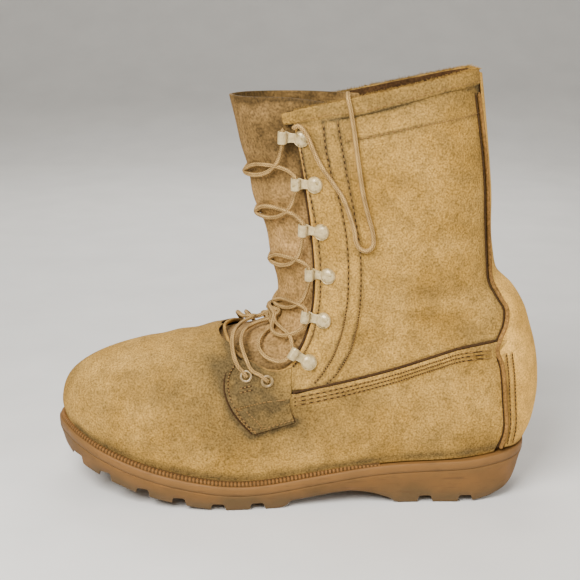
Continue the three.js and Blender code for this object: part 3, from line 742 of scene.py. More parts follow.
def sweep_frames(path: Array) -> tuple[Array, Array]:
    """Two directions across a path at each point, turning as little as possible along it.

    Args:
        path: the path's points.

    Returns:
        The two directions, a row for each point.
    """
    tangents = unit(np.gradient(path, axis=0))
    across = [unit(np.cross(tangents[0], (0.3, 0.2, 1)))]
    for tangent in tangents[1:]:
        across.append(unit(across[-1] - tangent * (across[-1] @ tangent)))
    across = np.array(across)
    return across, np.cross(tangents, across)


def round_cord(name: str, path: Array, radius: float, sides: int = 12, flat: float = 1) -> Piece:
    """A tube along a path with rounded ends, and a UV map that runs round and along it.

    Args:
        name: the piece's name.
        path: evenly spaced centre points.
        radius: half its width.
        sides: faces round it.
        flat: its height over its width.

    Returns:
        The closed tube.
    """
    across, upright = sweep_frames(path)
    last = len(path) - 1
    step = run_length(path)[-1] / last
    from_end = np.minimum(np.arange(last + 1), np.arange(last, -1, -1)) * step
    swell = np.sqrt(np.clip(1 - (1 - np.clip(from_end / radius, 0, 1)) ** 2, 0, 1))
    tube, u, v = new_grid(name, sides, last)
    n = np.rint(v * last).astype(int)
    angle = 2 * np.pi * u
    way = across[n] * np.cos(angle)[:, None] + upright[n] * np.sin(angle)[:, None] * flat
    lay(tube, (path[n] + way * (radius * swell[n])[:, None], way))
    weld(tube, 0.004)
    smooth(tube, 80)
    return tube


def many(name: str, template: Piece, frames: Sequence[Array]) -> Piece:
    """One mesh of copies of a small template, each moved by a 4 by 4 matrix in millimetres.

    Args:
        name: the piece's name.
        template: the small piece, in millimetres about the origin, removed afterwards.
        frames: one matrix for each copy.

    Returns:
        The joined piece.
    """
    points = read_points(template)
    faces = [tuple(polygon.vertices) for polygon in template.data.polygons]
    placed = [points @ frame[:3, :3].T + frame[:3, 3] for frame in frames]
    count = len(points)
    listed = [tuple(k + n * count for k in face) for n in range(len(frames)) for face in faces]
    mesh = bpy.data.meshes.new(name)
    mesh.from_pydata(Plan.metres(np.vstack(placed)).tolist(), [], listed)
    joined = bpy.data.objects.new(name, mesh)
    bpy.context.scene.collection.objects.link(joined)
    bpy.data.objects.remove(template)
    smooth(joined, 60)
    return joined


def frame_matrix(point: Array, forward: Array, normal: Array, scale: Sequence[float] = (1, 1, 1)) -> Array:
    """A matrix whose x runs forward, whose z is the normal and whose origin is the point.

    Args:
        point: the origin.
        forward: a direction near x.
        normal: the direction of z, of length 1.
        scale: how far x, y and z are stretched.

    Returns:
        The 4 by 4 matrix.
    """
    x = unit(forward - normal * (forward @ normal))
    matrix = np.eye(4)
    for n, axis in enumerate((x, np.cross(normal, x), normal)):
        matrix[:3, n] = axis * scale[n]
    matrix[:3, 3] = point
    return matrix


# ---- finishes
def linear(hex_colour: str) -> tuple[float, float, float, float]:
    """An sRGB hex colour as linear red, green, blue and alpha."""
    parts = [int(hex_colour[n : n + 2], 16) / 255 for n in (0, 2, 4)]
    return (*[p / 12.92 if p <= 0.04045 else ((p + 0.055) / 1.055) ** 2.4 for p in parts], 1.0)


def per_mm(size_mm: float) -> float:
    """The scale at which a pattern on Object coordinates has blobs of a size."""
    return 1000 / size_mm


def add_node(tree: bpy.types.NodeTree, kind: str, inputs: dict | None = None,
        **settings: object) -> bpy.types.Node:
    """Adds a node with its settings, its inputs' values and its links.

    Args:
        tree: the material's node tree.
        kind: the node's type, without its prefix.
        inputs: for each input, by its name or number, a value, a socket or the node that feeds it.
        **settings: the node's own settings.

    Returns:
        The node.
    """
    node = tree.nodes.new("ShaderNode" + kind)
    for key, value in settings.items():
        setattr(node, key, value)
    for key, value in (inputs or {}).items():
        if isinstance(value, bpy.types.Node):
            value = next(socket for socket in value.outputs if socket.enabled)
        if isinstance(value, bpy.types.NodeSocket):
            tree.links.new(value, node.inputs[key])
        else:
            node.inputs[key].default_value = value
    return node


def blank_material(name: str) -> tuple[Material, bpy.types.NodeTree]:
    """A new material, with no nodes in its tree yet.

    Args:
        name: the material's name.

    Returns:
        The material and its node tree.
    """
    material = bpy.data.materials.new(name)
    material.use_nodes = True
    material.node_tree.nodes.clear()
    return material, material.node_tree


@dataclass(frozen=True)
class Leather:
    """Rough-out cattle leather, the flesh side brushed to a nap: dull, warm and finely mottled."""

    name: str
    pale: str
    deep: str
    soiled: str
    nap_mm: float = 1.1  # a real nap is about 0.3 mm; drawn coarser so that it shows
    roughness: float = 0.94
    sheen: float = 0.05
    contrast: float = 0.44  # how much a fibre is lighter or darker than the hide

    def make(self) -> Material:
        """Builds the material: clouded dye, fibre mottling, dirt and painted shade from the piece's own
        attribute.

        Returns:
            The material.
        """
        material, tree = blank_material(self.name)
        place = add_node(tree, "TexCoord").outputs["Object"]
        # Tanning leaves clouds of lighter and deeper dye, a few fingers wide.
        clouds = add_node(tree, "TexNoise", {"Vector": place, "Scale": per_mm(30), "Detail": 5.0})
        cloud = add_node(tree, "MapRange", {0: clouds, 1: 0.34, 2: 0.68})
        dye = add_node(tree, "Mix", {0: cloud, 6: linear(self.deep), 7: linear(self.pale)}, data_type="RGBA")
        # Hands and dust darken the nap in patches the size of a fingertip.
        patches = add_node(tree, "TexNoise", {"Vector": place, "Scale": per_mm(9), "Detail": 3.0})
        patch = add_node(tree, "MapRange", {0: patches, 1: 0.42, 2: 0.7, 4: 0.34})
        darkened = add_node(tree, "Mix", {0: patch, 6: dye, 7: linear(self.soiled)}, data_type="RGBA")
        # The attribute carries dirt from the stains, and dirt with painted shade along the seams; both thin
        # out in smudges instead of at an edge.
        soil = add_node(tree, "Attribute", attribute_name="soil")
        smudges = add_node(tree, "TexNoise", {"Vector": place, "Scale": per_mm(12)})
        smudge = add_node(tree, "MapRange", {0: smudges, 1: 0.3, 2: 0.7, 3: 0.7, 4: 1.15})
        grime_and_shade = add_node(tree, "Math", {0: soil.outputs["Fac"], 1: smudge}, operation="MULTIPLY",
            use_clamp=True)
        dirtied_and_shaded = add_node(tree, "Mix", {0: grime_and_shade, 6: darkened, 7: linear(self.soiled)}, data_type="RGBA")
        # Single fibres catch or lose the light, which gives the eye the brushed nap.
        nap = add_node(tree, "TexNoise", {"Vector": place, "Scale": per_mm(self.nap_mm), "Detail": 4.0})
        fleck = add_node(tree, "MapRange", {
            0: nap, 1: 0.32, 2: 0.68, 3: 1 - self.contrast, 4: 1 + self.contrast})
        grey = add_node(tree, "CombineColor", {n: fleck for n in range(3)})
        napped = add_node(tree, "Mix", {0: 1.0, 6: dirtied_and_shaded, 7: grey}, data_type="RGBA", blend_type="MULTIPLY")
        # Two bumps: the fibres themselves, and the lumps that handling leaves in the nap.
        fine = add_node(tree, "Bump", {"Height": nap, "Distance": 0.0005, "Strength": 0.7})
        lumps = add_node(tree, "TexNoise", {"Vector": place, "Scale": per_mm(3.4)})
        coarse = add_node(tree, "Bump", {
            "Height": lumps, "Distance": 0.0006, "Strength": 0.4, "Normal": fine})
        surface = add_node(tree, "BsdfPrincipled", {
            "Base Color": napped, "Roughness": self.roughness, "Normal": coarse,
            "Sheen Weight": self.sheen, "Sheen Roughness": 0.6, "Sheen Tint": linear(self.deep),
            "Specular IOR Level": 0.15})
        add_node(tree, "OutputMaterial", {"Surface": surface})
        return material


@dataclass(frozen=True)
class Rubber:
    """Moulded gum rubber: matt, slightly waxy, warmer where it is clean and grey where it scuffs."""

    name: str
    clean: str
    dusty: str
    scuffed: str = "5a3f20"
    roughness: float = 0.6

    def make(self) -> Material:
        """Builds the material: clouded gum, dust that follows the attribute, scuffs drawn along x.

        Returns:
            The material.
        """
        material, tree = blank_material(self.name)
        place = add_node(tree, "TexCoord").outputs["Object"]
        # Dust lies in clouds, thicker where the attribute says that the sole meets the ground.
        clouds = add_node(tree, "TexNoise", {"Vector": place, "Scale": per_mm(20), "Detail": 4.0})
        cloud = add_node(tree, "MapRange", {0: clouds, 1: 0.35, 2: 0.68, 4: 0.5})
        soil = add_node(tree, "Attribute", attribute_name="soil")
        dust = add_node(tree, "Math", {0: cloud, 1: soil.outputs["Fac"]}, operation="ADD", use_clamp=True)
        colour = add_node(tree, "Mix", {0: dust, 6: linear(self.clean), 7: linear(self.dusty)},
            data_type="RGBA")
        # Scuffs: long thin marks where the edge has rubbed on floors.
        drawn = add_node(tree, "Mapping", {"Vector": place, "Scale": (0.2, 1.0, 1.5)})
        marks = add_node(tree, "TexNoise", {"Vector": drawn, "Scale": per_mm(3), "Detail": 5.0})
        scuff = add_node(tree, "MapRange", {0: marks, 1: 0.56, 2: 0.7, 4: 0.6})
        marked = add_node(tree, "Mix", {0: scuff, 6: colour, 7: linear(self.scuffed)}, data_type="RGBA")
        grain = add_node(tree, "TexNoise", {"Vector": place, "Scale": per_mm(0.9)})
        cuts = add_node(tree, "Bump", {"Height": scuff, "Distance": 0.0002, "Strength": 0.4})
        normal = add_node(tree, "Bump", {
            "Height": grain, "Distance": 0.00015, "Strength": 0.5, "Normal": cuts})
        # Clean gum is a little waxy, dusty gum is dead matt.
        rough = add_node(tree, "MapRange", {
            0: cloud, 1: 0.0, 2: 0.5, 3: self.roughness - 0.06, 4: self.roughness + 0.2})
        surface = add_node(tree, "BsdfPrincipled", {
            "Base Color": marked, "Roughness": rough, "Normal": normal,
            "Specular IOR Level": 0.3})
        add_node(tree, "OutputMaterial", {"Surface": surface})
        return material


@dataclass(frozen=True)
class PaintedBrass:
    """Brass hooks under baked cream paint: satin, with the dull metal showing where laces rub."""

    name: str
    paint: str
    stained: str
    bare: str

    def make(self) -> Material:
        """Builds the material: paint with handling stains, and rubbed patches a few millimetres wide.

        Returns:
            The material.
        """
        material, tree = blank_material(self.name)
        place = add_node(tree, "TexCoord").outputs["Object"]
        stains = add_node(tree, "TexNoise", {"Vector": place, "Scale": per_mm(2.4), "Detail": 4.0})
        stain = add_node(tree, "MapRange", {0: stains, 1: 0.38, 2: 0.72, 4: 0.7})
        painted = add_node(tree, "Mix", {0: stain, 6: linear(self.paint), 7: linear(self.stained)},
            data_type="RGBA")
        # Laces and fingers rub the paint through to dull metal.
        rubs = add_node(tree, "TexNoise", {"Vector": place, "Scale": per_mm(3.2), "Detail": 5.0})
        worn = add_node(tree, "MapRange", {0: rubs, 1: 0.58, 2: 0.66, 4: 0.85})
        colour = add_node(tree, "Mix", {0: worn, 6: painted, 7: linear(self.bare)}, data_type="RGBA")
        rough = add_node(tree, "MapRange", {0: worn, 3: 0.3, 4: 0.45})
        pits = add_node(tree, "TexNoise", {"Vector": place, "Scale": per_mm(0.8)})
        normal = add_node(tree, "Bump", {"Height": pits, "Distance": 0.00006, "Strength": 0.4})
        surface = add_node(tree, "BsdfPrincipled", {
            "Base Color": colour, "Roughness": rough, "Normal": normal,
            "Metallic": 0.2, "Coat Weight": 0.3, "Coat Roughness": 0.2})
        add_node(tree, "OutputMaterial", {"Surface": surface})
        return material


@dataclass(frozen=True)
class Braid:
    """Round braided polyester cord: diagonal ribs on both hands, dull, with dirt on its high points and
    painted shade in its grooves.
    """

    name: str
    pale: str
    deep: str
    soiled: str
    turns: float = 6  # ribs round the cord
    per_metre: float = 520  # ribs along a metre of it

    def make(self) -> Material:
        """Builds the material on the cord's own UV map, whose v is metres along it.

        Returns:
            The material.
        """
        material, tree = blank_material(self.name)
        coordinates = add_node(tree, "TexCoord")
        split = add_node(tree, "SeparateXYZ", {"Vector": coordinates.outputs["UV"]})
        around = add_node(tree, "Math", {0: split.outputs[0], 1: 2 * math.pi * self.turns},
            operation="MULTIPLY")
        along = add_node(tree, "Math", {0: split.outputs[1], 1: 2 * math.pi * self.per_metre},
            operation="MULTIPLY")
        # Strands wind both ways round the cord, and the higher of the two shows; the low places between them
        # take the deep colour as painted shade.
        hands = []
        for operation in ("ADD", "SUBTRACT"):
            slant = add_node(tree, "Math", {0: around, 1: along}, operation=operation)
            hands.append(add_node(tree, "Math", {0: slant}, operation="SINE"))
        higher = add_node(tree, "Math", {0: hands[0], 1: hands[1]}, operation="MAXIMUM")
        rib = add_node(tree, "MapRange", {0: higher, 1: -0.2, 2: 1.0})
        woven_with_gap_shade = add_node(tree, "Mix", {0: rib, 6: linear(self.deep), 7: linear(self.pale)}, data_type="RGBA")
        # Four wales run along the cord, with a dark line of painted shade in the groove between each two.
        turned = add_node(tree, "Math", {0: split.outputs[0], 1: 2 * math.pi * 2}, operation="MULTIPLY")
        wave = add_node(tree, "Math", {0: turned}, operation="SINE")
        wale = add_node(tree, "Math", {0: wave}, operation="ABSOLUTE")
        line = add_node(tree, "MapRange", {0: wale, 1: 0.0, 2: 0.5, 3: 0.75, 4: 0.0})
        lined = add_node(tree, "Mix", {0: line, 6: woven_with_gap_shade, 7: linear(self.soiled)}, data_type="RGBA")
        smudges = add_node(tree, "TexNoise", {
            "Vector": coordinates.outputs["Object"], "Scale": per_mm(7), "Detail": 3.0})
        smudge = add_node(tree, "MapRange", {0: smudges, 1: 0.4, 2: 0.7, 4: 0.45})
        colour = add_node(tree, "Mix", {0: smudge, 6: lined, 7: linear(self.soiled)}, data_type="RGBA")
        furrow = add_node(tree, "Bump", {"Height": wale, "Distance": 0.0005, "Strength": 0.8})
        normal = add_node(tree, "Bump", {
            "Height": rib, "Distance": 0.0003, "Strength": 0.8, "Normal": furrow})
        surface = add_node(tree, "BsdfPrincipled", {
            "Base Color": colour, "Roughness": 0.85, "Normal": normal,
            "Specular IOR Level": 0.2})
        add_node(tree, "OutputMaterial", {"Surface": surface})
        return material


@dataclass(frozen=True)
class Plain:
    """A small matt finish with its own mottling, for thread, needle holes, felt and the floor."""

    name: str
    pale: str
    deep: str
    size_mm: float
    roughness: float = 0.9
    depth_mm: float = 0.1

    def make(self) -> Material:
        """Builds the material: two tones in a noise pattern, which also raises the surface.

        Returns:
            The material.
        """
        material, tree = blank_material(self.name)
        place = add_node(tree, "TexCoord").outputs["Object"]
        pattern = add_node(tree, "TexNoise", {"Vector": place, "Scale": per_mm(self.size_mm), "Detail": 3.0})
        tone = add_node(tree, "MapRange", {0: pattern, 1: 0.3, 2: 0.7})
        colour = add_node(tree, "Mix", {0: tone, 6: linear(self.deep), 7: linear(self.pale)},
            data_type="RGBA")
        normal = add_node(tree, "Bump", {
            "Height": pattern, "Distance": self.depth_mm / 1000, "Strength": 0.5})
        surface = add_node(tree, "BsdfPrincipled", {
            "Base Color": colour, "Roughness": self.roughness, "Normal": normal,
            "Specular IOR Level": 0.2})
        add_node(tree, "OutputMaterial", {"Surface": surface})
        return material


class Finishes:
    """The boot's materials, each made once."""

    # The upper's nap: clouded, flecked and dull, the look of the whole boot.
    suede = Leather("rough_out_cattle_leather", "b88f46", "9b7533", "59482a", 1.2).make()
    # The counter is pressed over the heel, so its nap is flatter and paler.
    counter = Leather("pressed_rough_out_leather", "e0ad54", "c69644", "735830", contrast=0.32).make()
    # The tongue is a softer split, browner and worn smooth by hands.
    tongue = Leather("soft_split_leather", "b48c54", "93703c", "4c391c", 1.6, 0.78).make()
    # The rough inside of the hide, seen in the shaft and at the collar, painted darker to stand for the shade
    # inside the shaft.
    lining = Leather("raw_leather_lining", "5f4223", "472e16", "2e1e0e", 1.5).make()
    # Cut edges, where dirt and wax collect, and the dark lap lines that stand for the shade where one panel
    # laps another.
    edge = Plain("cut_edge_and_lap_shade", "4a3218", "30200e", 1.2).make()
    # Thin leather rolled over the counter's front edge.
    piping = Leather("skived_leather_piping", "a87c42", "8a6330", "5a4020", 1.4).make()
    # Gum rubber under the foot, dulled by dust and floors.
    outsole = Rubber("moulded_gum_rubber_tread", "7d5423", "5c4628").make()
    # The midsole's side wall, smoother and more orange.
    midsole = Rubber("moulded_gum_rubber_midsole", "805829", "6a4c28", roughness=0.55).make()
    # The notched welt round the forefoot.
    welt = Rubber("notched_gum_rubber_welt", "875b27", "6d4a20").make()
    # Shadow in the groove between the welt's teeth.
    welt_dark = Plain("welt_groove", "5c4020", "443014", 1.0).make()
    # Cream paint on the hooks and eyelets.
    hook = PaintedBrass("cream_painted_brass", "cdb684", "9c8453", "86703c").make()
    # Bare, dirty brass where the lace has worn the eyelets.
    eyelet = PaintedBrass("worn_dirty_brass", "94794a", "6e5833", "5e4a2a").make()
    # The lace's open braid.
    lace = Braid("braided_polyester_cord", "cfa868", "8d6a36", "5e4524").make()
    # Waxed sewing thread, a shade darker than the hide.
    thread = Plain("bonded_nylon_thread", "94703a", "6b4d24", 0.6, 0.7).make()
    # Painted shade: the dark of the needle holes and of the furrow that a row of stitches pulls into the
    # leather.
    hole = Plain("needle_hole", "432c14", "2a1b0c", 0.8).make()
    # The insole's felt.
    felt = Plain("felted_footbed", "5d482c", "40301b", 1.4, 0.96, 0.3).make()
    # Seamless paper for the setting.
    floor = Plain("pale_seamless_paper", "e4e1db", "dedbd5", 60, 0.85, 0.0).make()
    # A panel of the upper: its outside, its inside and its cut rim.
    panel = (suede, lining, edge)


# ---- soil
@dataclass(frozen=True)
class Stain:
    """A soft dirty patch in the side view: its middle, its half sizes and how dark it is."""

    x: float
    z: float
    wide: float
    high: float
    amount: float


STAINS = [Stain(*row) for row in [
    (180, 78, 27, 23, 0.85), (206, 96, 22, 15, 0.7), (172, 52, 46, 14, 0.42),
    (140, 66, 32, 15, 0.32), (205, 60, 24, 22, 0.2), (100, 76, 26, 10, 0.2),
    (230, 74, 16, 20, 0.34), (262, 84, 10, 12, 0.22), (282, 62, 12, 10, 0.25),
    (186, 98, 14, 8, 0.5), (68, 66, 12, 16, 0.18), (122, 78, 14, 6, 0.25),
    (248, 76, 18, 14, 0.3), (120, 104, 18, 22, 0.12), (132, 250, 26, 26, 0.4),
    (150, 228, 10, 34, 0.35), (80, 272, 60, 12, 0.5), (28, 180, 8, 70, 0.35),
    (60, 46, 50, 8, 0.3), (262, 44, 60, 7, 0.2), (40, 118, 18, 12, 0.4),
    (74, 146, 40, 10, 0.22), (124, 200, 9, 40, 0.1), (298, 72, 20, 10, 0.25),
    (314, 38, 14, 12, 0.35),
]]


def add_soil_and_shade(piece: Piece, lines: Sequence[tuple[Row, float]] = (), extra: float = 0) -> None:
    """Writes how dark each point of a piece is painted: dirt from the stains, and along its seams dirt
    together with painted shade in the laps.

    Args:
        piece: the mesh.
        lines: rows of side-view places darkened with dirt and painted shade, each with how far the darkening
            reaches in mm.
        extra: darkening over the whole piece.
    """
    plan = read_points(piece) * 1000 - Plan.origin
    x, z = plan[:, 0], plan[:, 2]
    soil = np.full(len(plan), float(extra))
    for stain in STAINS:
        away = ((x - stain.x) / stain.wide) ** 2 + ((z - stain.z) / stain.high) ** 2
        soil += stain.amount * np.exp(-away)
    # Along the rows the darkening is dirt together with painted shade where one panel laps another.
    for row, reach in lines:
        away, _ = distance_to_row(x, z, row)
        soil += 0.8 * np.exp(-((away / reach) ** 2))
    attribute = piece.data.attributes.new("soil", "FLOAT", "POINT")
    attribute.data.foreach_set("value", np.clip(soil, 0, 1.2).astype(np.float32))


def dress(piece: Piece, *materials: Material, slot: str = "rough_out_leather") -> None:
    """Gives a piece its materials, and makes it ride on the boot.

    Args:
        piece: the finished piece.
        slot: the record's material slot; not used.
        *materials: the outside's material, then the inside's and the cut rim's where they differ.
    """
    kinds = np.zeros(len(piece.data.polygons), int)
    piece.data.polygons.foreach_get("material_index", kinds)
    piece.data.materials.clear()
    for material in materials:
        piece.data.materials.append(material)
    piece.data.polygons.foreach_set("material_index", np.minimum(kinds, len(materials) - 1))
    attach(piece, "root")
    log.info("made %s, %d faces", piece.name, len(piece.data.polygons))


# ---- seams, as rows in the side view
WING_EDGE = [(20, 112.5), (26, 112), (49, 108), (66, 102.5), (93, 94), (121, 87.2), (144, 82.6),
    (158.5, 79.8)]
WING_HIDDEN = [(170, 83), (182, 91), (192, 100), (199, 107)]
THROAT_FOOT = [(162, 95.5), (169, 94), (178, 96.5), (187, 100.5), (196, 104.5), (203, 111)]
TAB_TOP = [(158, 97), (165, 94.8), (171, 94.2), (178, 96.5), (184, 99.2), (189.5, 100.4)]
TAB_FRONT = [(189.5, 100.4), (196, 97.5), (200.4, 91.5), (201.2, 84.6), (199.6, 77.5), (195, 68.4), (189, 61),
    (183, 54.4)]
TAB_FOOT = [(156.3, 61.1), (163, 59.4), (170.2, 57.6), (177, 56), (183, 54.4)]
TAB_REAR = [(158, 97), (158.6, 89), (158.6, 80), (159.6, 74.8), (158.4, 68), (156.3, 61.1)]
FACING_REAR = [(129.5, 300), (128, 262), (122.6, 228), (117.4, 200), (113.6, 179), (112.4, 158), (113.2, 134),
    (118.4, 108), (128, 90.5), (134, 82), (140, 74), (144, 60)]
FACING_FRONT = [*THROAT_UPRIGHT, (164.4, 89), (164.6, 84), (163.2, 79), (160, 74), (154, 62)]
INNER_ROW = [(139, 256), (137, 239), (133, 222), (127.8, 205), (123.8, 184), (122.2, 163), (122.6, 142),
    (125.6, 122), (131, 105), (138, 93), (143, 87)]
OUTER_ROW = [(130.5, 258), (124.6, 226), (119.3, 200), (115.6, 179), (114.4, 158), (115.2, 134), (120.4, 108),
    (129, 92.6), (135, 86.6)]
FRONT_ROW = [(154.6, 252), (150, 226), (145.6, 205), (141.6, 184), (139.6, 160), (140.4, 136), (144.6, 117),
    (151, 104.6), (157, 98)]
COLLAR_FOLD = [(163, 253), (152, 254.6), (138, 257.6), (118, 260), (85, 268), (62, 273.4), (36, 276.6)]
COLLAR_ROW = [(134, 243), (113.9, 246.6), (79.4, 253.4), (38, 259.4)]
COUNTER_ROWS = [[(19.4, 104), (17, 88), (15.4, 70), (14.2, 52), (15.4, 40)],
    [(15.6, 104), (13.2, 88), (11.6, 70), (10.4, 52), (11.6, 40)]]
STITCH_PITCH, THREAD_D = 2.5, 0.8


def band_share(level: Array, u: Array, ends: tuple[Array, Array], levels: Array) -> Array:
    """Shares that run from one edge to the other as u goes from 0 to 1, at each point's level.

    Args:
        level: each point's level.
        u: how far across each point is.
        ends: the two edges' shares at levels.
        levels: the levels that ends are given at.

    Returns:
        A share for each point.
    """
    first = np.interp(level, levels, ends[0])
    second = np.interp(level, levels, ends[1])
    return first + (second - first) * u


@dataclass
class UpperLeather:
    """Quarters, vamp, facings, tabs and collar band, each cut as its own panel."""

    quarter_foot: float = 2.4  # the level at which the quarters end, under the wings
    vamp_thick: float = 1.5
    vamp_lift: float = 0.45
    wing_lift: float = 1.3  # how far the wing's top edge stands over the quarter
    wing_run: float = 1.5  # how many levels it takes to rise there
    wing_tuck: float = 0.012  # the share of a ring that a wing runs in under the counter
    facing_thick: float = 0.9
    facing_lift: float = 0.75
    tab_thick: float = 1.3
    tab_lift: float = 2.5
    tab_fold: float = 0.8  # the worn fold across the tab's middle
    band_thick: float = 1.3
    band_lift: float = 1.35
    over_backstay: float = 1.7
    quarter_front: Row = field(default_factory=lambda: [
        *THROAT_UPRIGHT[:-1], (162, 95.6), (172, 94), (180, 92), (184, 86), (184, 40)])

    def build(self) -> None:
        """Makes every panel of the upper."""
        self.quarters()
        self.vamp()
        for side in Side:
            self.facing(side)
            self.tab(side)
            self.collar_band(side)

    @staticmethod
    def finish(sheet: Piece, thick: float, edge: float, lines: Sequence[tuple[Row, float]],
            extra: float = 0) -> None:
        """Thickens a panel, darkens it along its seams with dirt and painted shade, and dresses it.

        Args:
            sheet: the panel, one face thick.
            thick: its thickness.
            edge: how far its cut edges are rounded.
            lines: the seams darkened with dirt, and with painted shade where panels lap, each with how far
                the darkening reaches.
            extra: dirt over the whole panel.
        """
        thicken(sheet, thick, edge)
        add_soil_and_shade(sheet, lines, extra)
        dress(sheet, *Finishes.panel)

    def quarters(self) -> None:
        """The shaft: one wall from facing to facing round the back, open at the throat."""
        levels = np.linspace(self.quarter_foot, COLLAR, 120)
        outer = LAST.crossing(self.quarter_front, levels, Side.OUTER)
        inner = LAST.crossing(self.quarter_front, levels, Side.INNER) - 1
        wall, u, v = new_grid("upper_quarters", 230, 150)
        level = self.quarter_foot + v * (COLLAR - self.quarter_foot)
        lay(wall, LAST.at(level, band_share(level, u, (inner, outer), levels) % 1))
        self.finish(wall, LEATHER, 0.5, [(COLLAR_FOLD, 1.0), (OUTER_ROW, 1.3), (WING_EDGE, 2.2),
            (COLLAR_ROW, 0.9), (COUNTER_EDGE, 2.6)])
        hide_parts("upper")

    def top_level(self) -> tuple[Array, Array]:
        """Shares and levels of the vamp's top edge, from the outer counter round the front.

        Returns:
            The shares in rising order, and a level for each.
        """
        shares, levels = [], []
        for side in Side:
            rows = [LAST.find(x, z, side) for x, z in open_curve(WING_EDGE + WING_HIDDEN, 26)]
            shares += [share for _, share in rows]
            levels += [level for level, _ in rows]
        shares, levels = np.array(shares), np.array(levels)
        front = levels[np.argmin(np.abs(shares - 0.47))]
        kept = np.abs(shares - 0.5) > 0.015
        shares, levels = np.append(shares[kept], 0.5), np.append(levels[kept], max(front, 6.9))
        order = np.argsort(shares)
        return shares[order], levels[order]

    def vamp(self) -> None:
        """The vamp and its wings: one panel round the forefoot, lapped over the quarters."""
        shares, tops = self.top_level()
        start, end = shares[0] - self.wing_tuck, shares[-1] + self.wing_tuck
        vamp, u, v = new_grid("vamp", 300, 64)
        share = start + (end - start) * u
        top = np.interp(share, shares, tops)
        level = top * v**0.96
        lift = self.vamp_lift + self.wing_lift * (1 - ease((top - level) / self.wing_run))
        lay(vamp, LAST.at(level, share, lift))
        feather = [(x, float(sole_top([x])[0]) + 4.5) for x in range(10, 318, 14)]
        self.finish(vamp, self.vamp_thick, 0.5,
            [(TAB_FRONT, 3.4), (TAB_FOOT, 3), (feather, 4), (THROAT_FOOT, 3)])

    def facing(self, side: Side) -> None:
        """The eyestay: a thin facing down the throat, which runs in under the wing.

        Args:
            side: the side of the boot.
        """
        foot, head = 3.4, COLLAR - 0.02
        levels = np.linspace(foot, head, 120)
        rear = LAST.crossing(FACING_REAR, levels, side)
        front = LAST.crossing(FACING_FRONT, levels, side)
        sheet, u, v = new_grid(f"facing_{side.word}", 44, 150)
        level = foot + v * (head - foot)
        lift = self.facing_lift * (0.35 + 0.65 * ease(np.minimum(u, 1 - u) / 0.06))
        lay(sheet, LAST.at(level, band_share(level, u, (rear, front), levels), lift))
        self.finish(sheet, self.facing_thick, 0.3,
            [(INNER_ROW, 1.0), (OUTER_ROW, 1.3), (FRONT_ROW, 0.9), (WING_EDGE, 2.2), (COLLAR_FOLD, 1.0)])

    def tab(self, side: Side) -> None:
        """The quarter's lower corner, brought over the vamp and stitched down in a box.

        Args:
            side: the side of the boot.
        """
        count = 36
        top, foot = open_curve(TAB_TOP, count + 1), open_curve(TAB_FOOT, count + 1)
        rear, front = open_curve(TAB_REAR, count + 1), open_curve(TAB_FRONT, count + 1)
        sheet, u, v = new_grid(f"tab_{side.word}", count, count)
        i, j = np.rint(u * count).astype(int), np.rint(v * count).astype(int)
        fold = self.tab_fold * np.exp(-(((v - 0.44) / 0.06) ** 2)) * ease(u * 6) * ease((1 - u) * 6)
        lift = self.tab_lift - 1.1 * ease((v - 0.5) / 0.3) + fold
        # A patch between four edges: what each pair of edges gives, less what the corners give.
        u, v = u[:, None], v[:, None]
        across = foot[i] * (1 - v) + top[i] * v
        upright = rear[count - j] * (1 - u) + front[count - j] * u
        corner = (foot[0] * (1 - v) + top[0] * v) * (1 - u) + (foot[-1] * (1 - v) + top[-1] * v) * u
        spots = np.array([LAST.find(x, z, side) for x, z in across + upright - corner])
        lay(sheet, LAST.at(spots[:, 0], spots[:, 1], lift))
        self.finish(sheet, self.tab_thick, 0.4,
            [(TAB_FRONT, 2), (TAB_FOOT, 2), ([(195, 70), (176, 74.5), (160, 76)], 1.3)], 0.1)

    def collar_band(self, side: Side) -> None:
        """The hem along the collar, folded over and stitched.

        Args:
            side: the side of the boot.
        """
        spots = np.array([LAST.find(x, z, side) for x, z in open_curve(COLLAR_FOLD, 40)])
        order = np.argsort(spots[:, 1])
        shares, lows = spots[order, 1], spots[order, 0]
        start, end = (0.0, shares[-1]) if side is Side.OUTER else (shares[0], 1.0)
        backstay = shares[0] if side is Side.OUTER else 1 - shares[-1]
        band, u, v = new_grid(f"collar_band_{side.word}", 180, 14)
        share = start + (end - start) * u
        low = np.interp(share, shares, lows)
        level = low + (COLLAR - low) * v
        lift = self.band_lift * (0.45 + 0.55 * ease(v / 0.25)) * (0.6 + 0.4 * ease((1 - v) / 0.2))
        behind = (backstay - np.minimum(share, 1 - share)) / 0.012
        lay(band, LAST.at(level, share % 1, lift + self.over_backstay * ease(behind)))
        self.finish(band, self.band_thick, 0.4, [(COLLAR_FOLD, 0.7)], 0.12)


